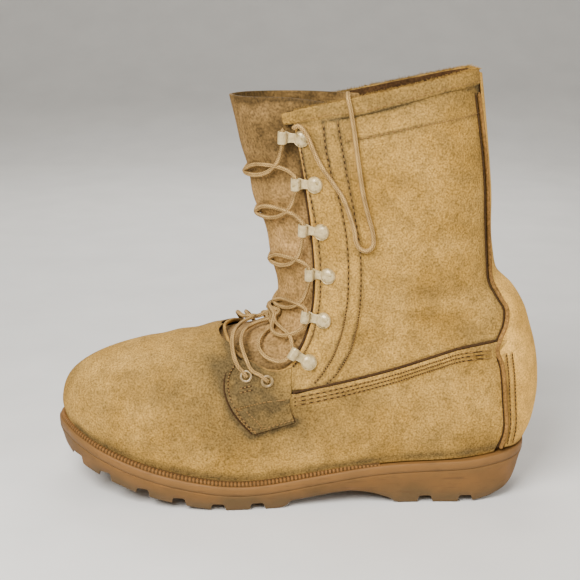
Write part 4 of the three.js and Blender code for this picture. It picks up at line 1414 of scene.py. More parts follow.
@dataclass
class EdgeRolls:
    """The turned edges that show as thin lines: throat, collar and heel counter."""

    throat_d: float = 2.3
    collar_d: float = 2.8
    piping_d: float = 2.7
    fibres: int = 900

    def build(self) -> None:
        """Makes a roll for each edge on each side."""
        collar = np.linspace(0, 1, 260)
        for side in Side:
            throat = LAST.on_rows([(157, 259), *THROAT_UPRIGHT[2:], *TAB_TOP[2:]], side, 150, -0.5)[0]
            self.roll(f"throat_edge_{side.word}", throat, self.throat_d, 1.2, 0.15, Finishes.counter)
            rows = [(19.5, 36), *COUNTER_EDGE[1:-2], (43, 272)]
            piping = LAST.on_rows(rows, side, 190, 1.3)[0]
            self.roll(f"counter_piping_{side.word}", piping, self.piping_d, 1, 0.3, Finishes.piping,
                "counter_leather")
            # Dark cords of painted shade along the laps, and in the gap behind the throat's edge.
            for name, row, (dx, dz), out, radius in (
                ("counter_lap_shadow", rows, (1.7, 0), 0.35, 0.55),
                ("wing_lap_shadow", WING_EDGE[1:], (0, 0.7), 0.5, 0.85),
                ("tab_front_lap_shadow", TAB_FRONT[1:], (0.6, -0.4), 0.9, 0.6),
                ("tab_foot_lap_shadow", TAB_FOOT, (0, -0.6), 0.6, 0.35),
                ("throat_shadow", THROAT_UPRIGHT[2:-1], (2.4, 0), -2.7, 1.3),
                ("tab_rear_lap_shadow", TAB_REAR[2:], (-0.6, 0), 0.6, 0.35),
            ):
                self.shadow(f"{name}_{side.word}", [(x + dx, z + dz) for x, z in row], side, out, radius)
            first = LAST.crossing(THROAT_UPRIGHT, np.array([COLLAR - 0.3]), side)[0]
            share = first * (1 - collar) if side is Side.OUTER else first + (1 - first) * collar
            wave = 0.25 * np.sin(31 * collar) + 0.2 * np.sin(77 * collar + 1)
            rim = LAST.at(np.full(260, COLLAR - 0.01), share, -0.55 + wave)[0]
            self.roll(f"collar_rim_{side.word}", rim, self.collar_d, 0.7, 0.05, Finishes.suede)
            self.fray(side, first)
        self.vamp_edge()

    def fray(self, side: Side, first: float) -> None:
        """Loose fibres that stand up along the collar's raw edge.

        Args:
            side: the side of the boot.
            first: the share at which the collar meets the throat.
        """
        rng = np.random.default_rng(7 + side.value)
        spread = rng.uniform(0, 1, self.fibres)
        share = first * (1 - spread) if side is Side.OUTER else first + (1 - first) * spread
        points, normals = LAST.at(np.full(self.fibres, COLLAR + 0.02), share,
            rng.uniform(-1.6, 0.3, self.fibres))
        tufts = []
        for point, normal, (lean, sweep, reach) in zip(points, normals, rng.normal(0, 1, (self.fibres, 3))):
            upright = np.array([0.5 * sweep, 0, 1]) + normal * 0.7 * lean
            tufts.append(frame_matrix(point, np.cross(upright, normal) + (0.01, 0, 0), upright,
                (1, 1, 0.45 + 0.3 * abs(reach))))
        deselect()
        bpy.ops.mesh.primitive_cone_add(vertices=4, radius1=0.15, radius2=0.04, depth=1.9,
            location=(0, 0, 0.6))
        fibre = bpy.context.object
        fibre.data.transform(Matrix.Translation(fibre.location))
        fibre.location = (0, 0, 0)
        fray = many(f"collar_fray_{side.word}", fibre, tufts)
        add_soil_and_shade(fray)
        dress(fray, Finishes.suede)

    @staticmethod
    def roll(name: str, path: Array, width: float, flat: float, soil: float, finish: Material,
            slot: str = "rough_out_leather") -> None:
        """A turned edge, as a roll of leather along a line.

        Args:
            name: the piece's name.
            path: its centre line.
            width: its width.
            flat: its height over its width.
            soil: how much dirt it has all over.
            finish: its material.
            slot: the record's material slot.
        """
        edge = round_cord(name, path, width / 2, 10, flat)
        add_soil_and_shade(edge, extra=soil)
        dress(edge, finish, slot=slot)

    @staticmethod
    def shadow(name: str, row: Row, side: Side, out: float, radius: float) -> None:
        """A dark cord of painted shade where one panel laps another, and in the gap behind the throat's edge.
        """
        line = round_cord(name, LAST.on_rows(row, side, 160, out)[0], radius, 8)
        dress(line, Finishes.edge)

    def vamp_edge(self) -> None:
        """The turned edge of the vamp across the front of the throat, from tab to tab."""
        rows = [(189, 100.8), (196, 104.5), (200, 107.6)]
        outer = LAST.on_rows(rows, Side.OUTER, 12, 0.3)[0]
        inner = LAST.on_rows(rows, Side.INNER, 12, 0.3)[0]
        middle = LAST.at([6.93], [0.5], 0.3)[0]
        path = resample(open_curve([*outer[::3], middle[0], *inner[::-3]], 60), 60)
        self.roll("vamp_edge", path, self.throat_d, 1.2, 0.3, Finishes.counter)


@dataclass
class HeelCounter:
    """The heel's stiff outer cup, narrowing above the ankle into the backstay."""

    crown: float = 0.5

    def build(self) -> None:
        """Makes the counter as one moulded sheet with a thin skived edge."""
        foot = 0.12
        levels = np.linspace(foot, COUNTER_TOP + 0.25, 100)
        outer = LAST.crossing(COUNTER_EDGE, levels, Side.OUTER)
        inner = LAST.crossing(COUNTER_EDGE, levels, Side.INNER) - 1
        cup, u, v = new_grid("heel_counter_leather", 90, 150)
        level = foot + v * (levels[-1] - foot)
        edge = np.minimum(u, 1 - u)
        skived = 0.5 + 0.5 * ease(edge / 0.12)
        lift = COUNTER_GAP + COUNTER_THICK * skived + self.crown * ease(edge / 0.5)
        lay(cup, LAST.at(level, band_share(level, u, (inner, outer), levels) % 1, lift))
        thicken(cup, COUNTER_THICK, 0.4)
        rows = [(row, 1.0) for row in COUNTER_ROWS]
        add_soil_and_shade(cup, [*rows, ([(20, 34), (10, 36), (-2, 38)], 4)], -0.12)
        dress(cup, Finishes.counter, Finishes.lining, Finishes.edge, slot="counter_leather")
        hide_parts("heel_counter")


@dataclass
class Tongue:
    """A soft tongue inside the throat, with the bellows that join it to the facings."""

    wave: float = 0.9
    tuck: float = 1.0  # how many levels it runs down inside the vamp
    bellows_thick: float = 0.7

    def build(self) -> None:
        """Makes the tongue and its bellows."""
        depth, foot = LEATHER + TONGUE_CLEAR, TONGUE_FOOT - self.tuck
        sheet, u, v = new_grid("tongue_leather", 70, 150)
        share = 2 * u - 1
        lower = foot + (COLLAR - foot) * v
        around = 1 - np.abs(share) * np.interp(lower, [TONGUE_FOOT, 8], [0.66, 0.52])
        ring = np.where(share > 0, around / 2, 1 - around / 2)
        crown = TONGUE_TOP - 3 * share**2 + 3.6 * np.exp(-(((share - 0.62) / 0.3) ** 2))
        level = foot + (self.level_at(crown, ring) - foot) * v
        puff = self.wave * np.sin(level * 4.3) * (1 - share**2) * ease((1 - v) * 4)
        sag = 0.5 * np.sin(7 * share + 3 * v)
        lay(sheet, LAST.at(level, ring, -depth + 0.9 * puff + 0.5 * sag, creased=False))
        thicken(sheet, TONGUE_THICK - 0.3, 0.6)
        # Darker along the top edge and over a wide patch towards the top; beside the throat's edges the
        # darkening is painted shade cast by the facings.
        edge = [(192, 267), (160, 271), (130, 266)]
        darkened = [(186, 262), (176, 236), (166, 246)]
        add_soil_and_shade(sheet, [(edge, 3), (darkened, 30), (THROAT_UPRIGHT[1:], 2)])
        dress(sheet, Finishes.tongue, slot="tongue_leather")
        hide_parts("tongue")
        for side in Side:
            self.bellows(side)

    @staticmethod
    def level_at(height: Array, share: Array) -> Array:
        """Levels at which places round the rings reach given heights.

        Args:
            height: heights above the floor.
            share: shares round the rings.

        Returns:
            A level for each place.
        """
        low, high = np.full(len(share), 8.0), np.full(len(share), float(LAST.top))
        for _ in range(22):
            middle = (low + high) / 2
            below = LAST.read(LAST.points, middle, share)[:, 2] < height
            low, high = np.where(below, middle, low), np.where(below, high, middle)
        return low

    def bellows(self, side: Side) -> None:
        """The thin folded web between the tongue's edge and the back of the facing.

        Args:
            side: the side of the boot.
        """
        foot, head = 6.2, 12.6
        levels = np.linspace(foot, head, 60)
        web, u, v = new_grid(f"tongue_bellows_{side.word}", 14, 90)
        level = foot + (head - foot) * v
        edge = np.interp(level, levels, LAST.crossing(THROAT_UPRIGHT, levels, side))
        turn = side.value * (0.012 - 0.05 * u)
        fold = 1.6 * np.sin(np.pi * u) + 0.5 * np.sin(9 * v) * np.sin(np.pi * u)
        out = -LEATHER - 0.5 - 1.2 * u + fold * 0.4 - 0.9
        lay(web, LAST.at(level, edge + turn, out, creased=False))
        thicken(web, self.bellows_thick, 0)
        # Darkened all over as painted shade, deep in the throat behind the facings.
        add_soil_and_shade(web, extra=0.5)
        dress(web, Finishes.tongue, slot="tongue_leather")


@dataclass(frozen=True)
class StitchRow:
    """One row of stitches: its name, its row in the side view and how far it lies off the last."""

    name: str
    row: Row
    out: float
    furrowed: bool = True  # pulled tight enough to cut a furrow, which gets a painted shade line and dark needle holes


@dataclass
class Stitching:
    """Lock-stitch rows, with the needle holes between the stitches."""

    furrow: float = 0.8
    rows: list[StitchRow] = field(default_factory=list)

    def __post_init__(self) -> None:
        """Lists the rows on one side of the boot."""
        for n, drop in enumerate((3.0, 5.6, 8.2)):
            row = [(x, z - drop) for x, z in WING_EDGE[2:-1]] + [(156, 80.6 - drop)]
            self.rows.append(StitchRow(f"wing_{n + 1}", [(28, 109.8 - drop)] + row, 1.8 - 0.16 * n))
        self.rows += [StitchRow("facing_front", FRONT_ROW, 0.8), StitchRow("facing_middle", INNER_ROW, 0.8),
            StitchRow("facing_rear", OUTER_ROW, 0.75), StitchRow("collar", COLLAR_ROW, 0.1, False),
            StitchRow("collar_hem", [(x, z + 2.6) for x, z in COLLAR_FOLD[1:]], 1.35, False)]
        self.rows += [StitchRow(f"counter_{n + 1}", row, 2.3) for n, row in enumerate(COUNTER_ROWS)]
        box = [(187.6, 70), (194.4, 70.6), (183.4, 56.8), (177.6, 58.4), (187.6, 70)]
        self.rows += [StitchRow("tab_box", box, 2.6, False),
            StitchRow("tab_front", [(x - 2.2, z) for x, z in TAB_FRONT[1:]], 2.5),
            StitchRow("tab_foot", [(x, z + 2.2) for x, z in TAB_FOOT[:-1]], 2.6, False),
            StitchRow("tab_fold", [(194, 71.4), (176, 75.6), (161, 77)], 3.2, False),
            StitchRow("tab_bar_1", [(192, 81), (184, 83)], 2.3),
            StitchRow("tab_bar_2", [(192, 83.4), (184.4, 85.4)], 2.2)]

    def build(self) -> None:
        """Makes one piece of thread and one of needle holes on each side."""
        for side in Side:
            threads, holes = [], []
            for row in self.rows:
                self.run(row, side, threads, holes)
            self.furrows(side)
            thread = many(f"stitches_{side.word}", self.stitch(), threads)
            dress(thread, Finishes.thread)
            pits = many(f"needle_holes_{side.word}", self.pit(), holes)
            dress(pits, Finishes.hole)

    def furrows(self, side: Side) -> None:
        """A dark cord of painted shade along the furrow that each row of stitches pulls into the leather, as
        one piece.

        Args:
            side: the side of the boot.
        """
        lines = []
        for row in filter(lambda each: each.furrowed, self.rows):
            count = max(int(run_length(np.array(row.row, float))[-1] / STITCH_PITCH), 2)
            path = LAST.on_rows(row.row, side, 2 * count + 1, row.out - 0.12)[0]
            lines.append(round_cord(f"furrow_{row.name}", path, self.furrow / 2, 6))
        choose(lines[0], *lines[1:])
        bpy.ops.object.join()
        furrow = named(bpy.context.object, f"furrows_{side.word}")
        dress(furrow, Finishes.hole)

    @staticmethod
    def run(row: StitchRow, side: Side, threads: list[Array], holes: list[Array]) -> None:
        """Adds a row's stitches and holes to the lists of matrices.

        Args:
            row: the row of stitches.
            side: the side of the boot.
            threads: takes a matrix for each stitch.
            holes: takes a matrix for each hole.
        """
        rough = np.array(row.row, float)
        count = max(int(run_length(rough)[-1] / STITCH_PITCH), 2)
        points, normals = LAST.on_rows(row.row, side, 2 * count + 1, row.out)
        for n in range(1, 2 * count, 2):
            forward = points[n + 1] - points[n - 1]
            length = np.linalg.norm(forward)
            threads.append(frame_matrix(points[n], forward, normals[n], (length * 0.36, 1, 1)))
            if row.furrowed:
                holes.append(frame_matrix(points[n + 1], forward, normals[n + 1]))

    @staticmethod
    def stitch() -> Piece:
        """A stitch: a thread that rises out of one hole and dips into the next, unit length either way.

        Returns:
            The template, 2 mm long.
        """
        deselect()
        bpy.ops.mesh.primitive_uv_sphere_add(segments=8, ring_count=6, radius=1)
        thread = bpy.context.object
        thread.data.transform(Matrix.Rotation(math.pi / 2, 4, "Y"))
        thread.data.transform(Matrix.Diagonal((1, THREAD_D / 2, THREAD_D / 2, 1)))
        return thread

    @staticmethod
    def pit() -> Piece:
        """A needle hole: a small dent between two stitches, dark with painted shade.

        Returns:
            The template.
        """
        deselect()
        bpy.ops.mesh.primitive_uv_sphere_add(segments=8, ring_count=5, radius=1)
        dent = bpy.context.object
        dent.data.transform(Matrix.Diagonal((0.75, 0.5, 0.2, 1)))
        return dent


# ---- the sole
@dataclass
class Sole:
    """Outsole with its lugs, midsole strip, notched welt and footbed."""

    ribs: int = 170
    line: SoleLine = field(default_factory=SoleLine)
    notch_width: float = 7.4
    notch_depth: float = LUG_DEPTH + 1.9
    notch_reach: float = 24
    tooth_pitch: float = 2.5
    tooth_height: float = 2.5
    welt_start: float = 100
    channel_rows: int = 399
    footbed_thick: float = 4.6

    def slab(self, name: str, profile: Row, low: Callable[[Array], Array],
            high: Callable[[Array], Array]) -> Piece:
        """A closed slab that follows the sole's outline.

        Args:
            name: the piece's name.
            profile: its side from the foot up, as inset in mm and share of its height.
            low: its underside's height at stations x.
            high: its top's height at stations x.

        Returns:
            The slab.
        """
        insets, heights = np.array(profile).T
        across = 12
        turns = len(profile)
        columns = 2 * turns + 2 * across
        solid, u, v = new_grid(name, columns, self.ribs)
        k = np.rint(u * columns).astype(int) % columns
        outer_side, top = k < turns, (k >= turns) & (k < turns + across)
        inner_side = (k >= turns + across) & (k < 2 * turns + across)
        row = np.where(outer_side, k, np.where(inner_side, 2 * turns + across - 1 - k, 0))
        row = np.where(top, turns - 1, row)
        a, b = self.line.at(v / 2, insets[row]), self.line.at(1 - v / 2, insets[row])
        t = np.where(inner_side, 1, np.where(top, (k - turns + 1) / (across + 1), 0))
        t = np.where(k >= 2 * turns + across, 1 - (k - 2 * turns - across + 1) / (across + 1), t)
        p = a * (1 - t)[:, None] + b * t[:, None]
        p[:, 2] = low(p[:, 0]) + heights[row] * (high(p[:, 0]) - low(p[:, 0]))
        lay(solid, (p, np.zeros_like(p)))
        weld(solid, 0.02)
        face_outwards(solid)
        return solid

    def build(self) -> None:
        """Makes the four pieces."""
        self.outsole()
        self.midsole()
        self.welt()
        self.footbed()

    def outsole(self) -> None:
        """The tread: a tapering slab with rounded edges, notched into lugs."""
        profile = [(TREAD_INSET + 1.6, 0), (TREAD_INSET + 0.5, 0.03), (TREAD_INSET, 0.09),
            (TREAD_INSET * 0.75, 0.3), (TREAD_INSET * 0.4, 0.6), (0.2, 0.86), (0.05, 0.96), (0.2, 1.0)]
        tread = self.slab("outsole_tread", profile, self.tread_bottom, lambda x: sole_top(x) - MIDSOLE - GAP)
        cutters = [self.cutter(*groove) for groove in self.grooves()]
        choose(*cutters)
        bpy.ops.object.join()
        knife = bpy.context.object
        modify(tread, "BOOLEAN", operation="DIFFERENCE", object=knife, solver="EXACT", use_self=True)
        bpy.data.objects.remove(knife)
        modify(tread, "BEVEL", width=0.0007, segments=2, limit_method="ANGLE", angle_limit=math.radians(45))
        smooth(tread, 35)
        floor = [(x, 2) for x in range(20, 210, 20)]
        add_soil_and_shade(tread, [(floor, 9), ([(212, 3), (250, 9), (290, 18)], 5)], 0.12)
        dress(tread, Finishes.outsole, slot="outsole_rubber")
        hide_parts("outsole")

    @staticmethod
    def tread_bottom(x: Array) -> Array:
        """Height of the tread's underside at stations x."""
        return smooth_table(TREAD_BOTTOM, np.asarray(x, float), 1.2)

    def grooves(self) -> list[tuple[float, float, float, float, float]]:
        """Every groove as x, its two ends in y, its width and its turn in degrees.

        Returns:
            One row for each groove.
        """
        xs, outer, inner = zip(*SOLE_EDGE)
        found = []
        for x in (*HEEL_NOTCHES, *FORE_NOTCHES):
            a, b = float(np.interp(x, xs, outer)), float(np.interp(x, xs, inner))
            found.append((x, a - self.notch_reach, a + 8, self.notch_width, 0))
            found.append((x, b - 8, b + self.notch_reach, self.notch_width, 0))
        for x, after in zip(FORE_NOTCHES[:-1], FORE_NOTCHES[1:]):
            found.append(((x + after) / 2, -16, 14, self.notch_width * 0.7, 12))
        return found

    def cutter(self, x: float, y0: float, y1: float, width: float, turn: float) -> Piece:
        """A tapered bar that cuts one groove, wider at the floor, as a mould draws it.

        Args:
            x: the groove's station.
            y0: its inner end.
            y1: its outer end.
            width: its width.
            turn: how far it is turned in plan, in degrees.

        Returns:
            The bar.
        """
        deselect()
        bpy.ops.mesh.primitive_cube_add(size=1)
        bar = bpy.context.object
        top = float(self.tread_bottom([x])[0]) + self.notch_depth
        points = read_points(bar)
        flare = np.where(points[:, 2] < 0, 2.0, 1.05)
        shaped = np.stack([points[:, 0] * width * flare, points[:, 1] * (y1 - y0),
            np.where(points[:, 2] < 0, -8.0, top)], axis=1)
        angle = math.radians(turn)
        spun = shaped[:, :2] @ np.array([[math.cos(angle), math.sin(angle)],
            [-math.sin(angle), math.cos(angle)]])
        write_points(bar, Plan.metres(np.column_stack([spun + (x, (y0 + y1) / 2), shaped[:, 2]])))
        modify(bar, "BEVEL", width=0.0012, segments=2)
        return bar

    def midsole(self) -> None:
        """The warm strip between the tread and the leather, slightly rounded."""
        profile = [(0.25, 0), (0.05, 0.05), (-0.1, 0.3), (-0.1, 0.62), (0.05, 0.86), (0.5, 0.97), (1.1, 1.0)]
        strip = self.slab("midsole_strip", profile, lambda x: sole_top(x) - MIDSOLE, sole_top)
        smooth(strip, 50)
        add_soil_and_shade(strip, [([(x, float(sole_top([x])[0]) - MIDSOLE) for x in range(0, 322, 12)], 1.4)], 0.05)
        dress(strip, Finishes.midsole, slot="midsole_rubber")
        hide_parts("midsole")

    def welt_run(self) -> tuple[Array, Array]:
        """Evenly spaced points along the welt's outline, and the direction inwards at each.

        Returns:
            The points and the directions.
        """
        shares = np.linspace(0, 1, 2400)
        line = self.line.at(shares)
        line = line[line[:, 0] > self.welt_start]
        length = run_length(line)[-1]
        points = resample(line, int(length / self.tooth_pitch))
        tangents = unit(np.gradient(points, axis=0))
        return points, np.stack([tangents[:, 1], -tangents[:, 0], tangents[:, 2]], axis=1)

    def welt(self) -> None:
        """A dark channel on the midsole's rim, filled with a row of light moulded teeth."""
        points, inwards = self.welt_run()
        fine, fine_in = resample(points, self.channel_rows + 1), resample(inwards, self.channel_rows + 1)
        section = [(1.6, 0.2), (1.6, 0.55), (2.4, 1.9), (4.6, 2.6), (7.5, 2.6), (7.5, 0.2)]
        corners = np.array([*section, section[0]])
        channel, u, v = new_grid("welt_channel", len(section), self.channel_rows)
        i, k = np.rint(v * self.channel_rows).astype(int), np.rint(u * len(section)).astype(int)
        p = fine[i] + fine_in[i] * corners[k][:, :1]
        p[:, 2] = sole_top(p[:, 0]) + corners[k][:, 1]
        lay(channel, (p, -fine_in[i]))
        weld(channel)
        in_edit(channel, lambda: bpy.ops.mesh.fill_holes(sides=8))
        face_outwards(channel)
        smooth(channel, 40)
        dress(channel, Finishes.welt_dark, slot="welt_rubber")
        frames = []
        for p, inward in zip(points, inwards):
            at = p + inward * 2.1
            at[2] = sole_top([at[0]])[0] + 0.1
            fade = float(ease((at[0] - self.welt_start) / 26))
            frames.append(frame_matrix(at, -inward, np.array([0, 0, 1.0]), (1, 1, 0.35 + 0.65 * fade)))
        teeth = many("welt_teeth", self.tooth(), frames)
        add_soil_and_shade(teeth, extra=0.2)
        dress(teeth, Finishes.welt, slot="welt_rubber")
        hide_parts("welt")

    def tooth(self) -> Piece:
        """One tooth of the welt: a rounded rib that leans back against the leather.

        Returns:
            The template.
        """
        deselect()
        bpy.ops.mesh.primitive_cube_add(size=1)
        rib = bpy.context.object
        points = read_points(rib)
        shaped = points * (2.6, self.tooth_pitch * 0.62, self.tooth_height)
        shaped[:, 2] += self.tooth_height / 2
        shaped[:, 0] -= np.where(points[:, 2] > 0, 0.9, 0)
        write_points(rib, shaped)
        modify(rib, "BEVEL", width=0.45, segments=1)
        return rib

    def footbed(self) -> None:
        """The loose footbed: felted, cupped a little round its rim."""
        inset = LEATHER + 1.4
        bed, u, v = new_grid("footbed", 30, 120)
        outer = LAST.at(0 * v, v / 2, -inset, creased=False)[0]
        inner = LAST.at(0 * v, (1 - v / 2) % 1, -inset, creased=False)[0]
        p = outer * (1 - u)[:, None] + inner * u[:, None]
        rim = np.abs(2 * u - 1) ** 8
        p[:, 2] = sole_top(p[:, 0]) + 5.4 + 1.1 * rim
        lay(bed, (p, np.tile([0.0, 0, 1], (len(p), 1))))
        weld(bed, 0.05)
        thicken(bed, self.footbed_thick, 1.0)
        dress(bed, Finishes.felt, slot="footbed")
        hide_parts("insole")


# ---- hooks, eyelets and laces
def hook_frame(place: tuple[float, float, float, float], side: Side, extra: float = 0) -> Array:
    """The matrix of a hook on one side: x slopes forward, z points out of the leather.

    Args:
        place: x, z, slope in degrees and lift off the leather.
        side: the side of the boot.
        extra: more lift.

    Returns:
        The 4 by 4 matrix.
    """
    x, z, turn, lift = place
    level, share = LAST.find(x, z, side)
    point, normal = LAST.at([level], [share], lift + extra, creased=False)
    angle = math.radians(turn)
    return frame_matrix(point[0], np.array([math.cos(angle), 0, math.sin(angle)]), normal[0])


@dataclass
class Hooks:
    """Speed hooks: a domed rivet, a strap towards the throat and a rolled end for the lace."""

    rivet_r: float = 5.3
    head_radii: tuple[float, ...] = (0, 0.3, 0.62, 0.78, 0.9, 0.97)  # a dome in a pressed rim
    head_heights: tuple[float, ...] = (2.8, 2.72, 2.3, 1.75, 0.9, 1.3)
    strap_w: float = 6.2
    strap_t: float = 1.1
    roll_r: float = 2.35
    roll_w: float = 7.8
    ring_lift: float = 2.2

    def build(self) -> None:
        """Makes a hook on every place of both sides, and the eyelets."""
        for side in Side:
            for n, place in enumerate(HOOK_PLACES):
                hook = self.copy(f"speed_hook_{side.word}_{n + 1}", self.hook(), hook_frame(place, side, 0.3))
                dress(hook, Finishes.hook, slot="painted_brass")
                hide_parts(f"hook_{side.word}_{n + 1}")
            for n, (x, z) in enumerate(EYELET_PLACES):
                ring = self.copy(f"eyelet_ring_{side.word}_{n + 1}", self.eyelet(),
                    hook_frame((x, z, 0, self.ring_lift), side))
                dress(ring, Finishes.eyelet, slot="painted_brass")
                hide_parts(f"eyelet_{side.word}_{n + 1}")

    @staticmethod
    def copy(name: str, template: Piece, matrix: Array) -> Piece:
        """Puts a template made in millimetres about the origin in its place.

        Args:
            name: the piece's name.
            template: the template.
            matrix: where it goes.

        Returns:
            The piece, which is the template itself.
        """
        points = read_points(template)
        write_points(template, Plan.metres(points @ matrix[:3, :3].T + matrix[:3, 3]))
        smooth(template, 40)
        return named(template, name)

    def strap_line(self) -> Array:
        """The strap's middle line from above, as x, z and half its width, round the rolled end.

        Returns:
            One row for each point of the line.
        """
        flat = [(0, 0.75, self.strap_w * 0.5), (4, 0.75, self.strap_w * 0.46),
            (7.2, 0.85, self.strap_w * 0.48), (9.4, 0.95, self.roll_w * 0.47)]
        angles = np.radians(np.linspace(-80, 196, 15))
        centre = (11.6, 0.75 + self.roll_r)
        curl = [(centre[0] + self.roll_r * math.cos(a), centre[1] + self.roll_r * math.sin(a),
            self.roll_w / 2) for a in angles]
        return np.array([*flat, *curl])

    def hook(self) -> Piece:
        """One hook about the origin, in millimetres.

        Returns:
            The template.
        """
        line = self.strap_line()
        strap, u, v = new_grid("strap", 6, len(line) - 1)
        n = np.rint(v * (len(line) - 1)).astype(int)
        write_points(strap, np.column_stack([line[n, 0], (2 * u - 1) * line[n, 2], line[n, 1]]))
        modify(strap, "SOLIDIFY", thickness=self.strap_t, offset=0)
        modify(strap, "BEVEL", width=0.28, segments=2, limit_method="ANGLE", angle_limit=math.radians(50))
        deselect()
        bpy.ops.mesh.primitive_uv_sphere_add(segments=28, ring_count=14, radius=self.rivet_r)
        rivet = bpy.context.object
        in_edit(rivet, lambda: bpy.ops.mesh.bisect(plane_co=(0, 0, 0), plane_no=(0, 0, 1), clear_inner=True,
            use_fill=True))
        points = read_points(rivet)
        radius = np.hypot(points[:, 0], points[:, 1]) / self.rivet_r
        head = np.interp(radius, self.head_radii, self.head_heights)
        points[:, 2] = np.where(radius < 0.985, head, 0.0)
        write_points(rivet, points)
        choose(strap, rivet)
        bpy.ops.object.join()
        face_outwards(strap)
        return strap

    def eyelet(self) -> Piece:
        """One eyelet about the origin: a rolled brass ring, in millimetres.

        Returns:
            The template.
        """
        deselect()
        bpy.ops.mesh.primitive_torus_add(major_segments=32, minor_segments=12, major_radius=3.3,
            minor_radius=0.95)
        ring = bpy.context.object
        points = read_points(ring)
        points[:, 2] *= 0.75
        write_points(ring, points)
        return ring


LACE_END = [  # x, z and how far the free end's centre stands off the leather
    (156.5, 252, 4.6), (152.5, 254, 4.6), (148, 249, 4), (144.5, 240, 2.6), (139.5, 229.5, 2), (133, 220, 2),
    (126.5, 210.5, 2), (121.8, 199, 2), (118.8, 189, 2), (117.7, 182.4, 2), (115, 177.6, 2), (111, 176.4, 2),
    (107.6, 179.6, 2), (107.4, 186, 2), (110.2, 197, 2), (113.8, 211, 2), (117, 230, 2), (120, 250, 2),
    (122.5, 264.5, 2.6),
]
LACE_OVER_COLLAR = [(1.4, -2.1), (3.4, 1.2), (2.8, 5), (-2.5, 8.2), (-13, 8.6)]  # rise, inwards


LACE_LOW = {  # slack strands low in the throat: x, z and how far they stand off the leather
    "from_hook_5": [
        (147.7, 124, 3), (151.8, 119.1, 3), (157.9, 115.4, 3), (163.9, 114.1, 2.5), (169.3, 114.6, 2),
        (171.2, 116.5, 1), (170.6, 119.4, 1), (168.8, 123.4, 1.6)],
    "to_hook_6": [
        (166.9, 126.4, -0.5), (169.1, 122.8, 1), (168.5, 120, 1.5), (165.1, 118.2, 1), (160.4, 115.7, 2),
        (157.7, 112.8, 3), (157.1, 108.7, 4)],
    "from_hook_6": [
        (159.9, 102.7, 4), (164.1, 100.3, 4.5), (171, 100.8, 4), (176.3, 103.3, 3), (179.3, 107.2, 2),
        (178.9, 111.7, 0.8), (175.5, 114.8, 0), (172, 118, -0.4)],
    "to_eyelet_1": [
        (173.4, 120, -0.2), (180.8, 115.9, 0.6), (186.5, 113.2, 1.5), (189.6, 111.3, 3), (190.2, 106.7, 5),
        (188.6, 102.7, 5.5), (186.5, 98.6, 5), (184.7, 95.4, 4), (182.4, 93.5, 3), (178.2, 91.8, 2.4)],
    "to_eyelet_2": [
        (190.6, 112.6, 3.6), (195.3, 109.6, 5), (195.9, 104.7, 5), (194.6, 99.7, 4.4), (192.2, 95.7, 3.6),
        (189.4, 93.2, 2.4)],
}


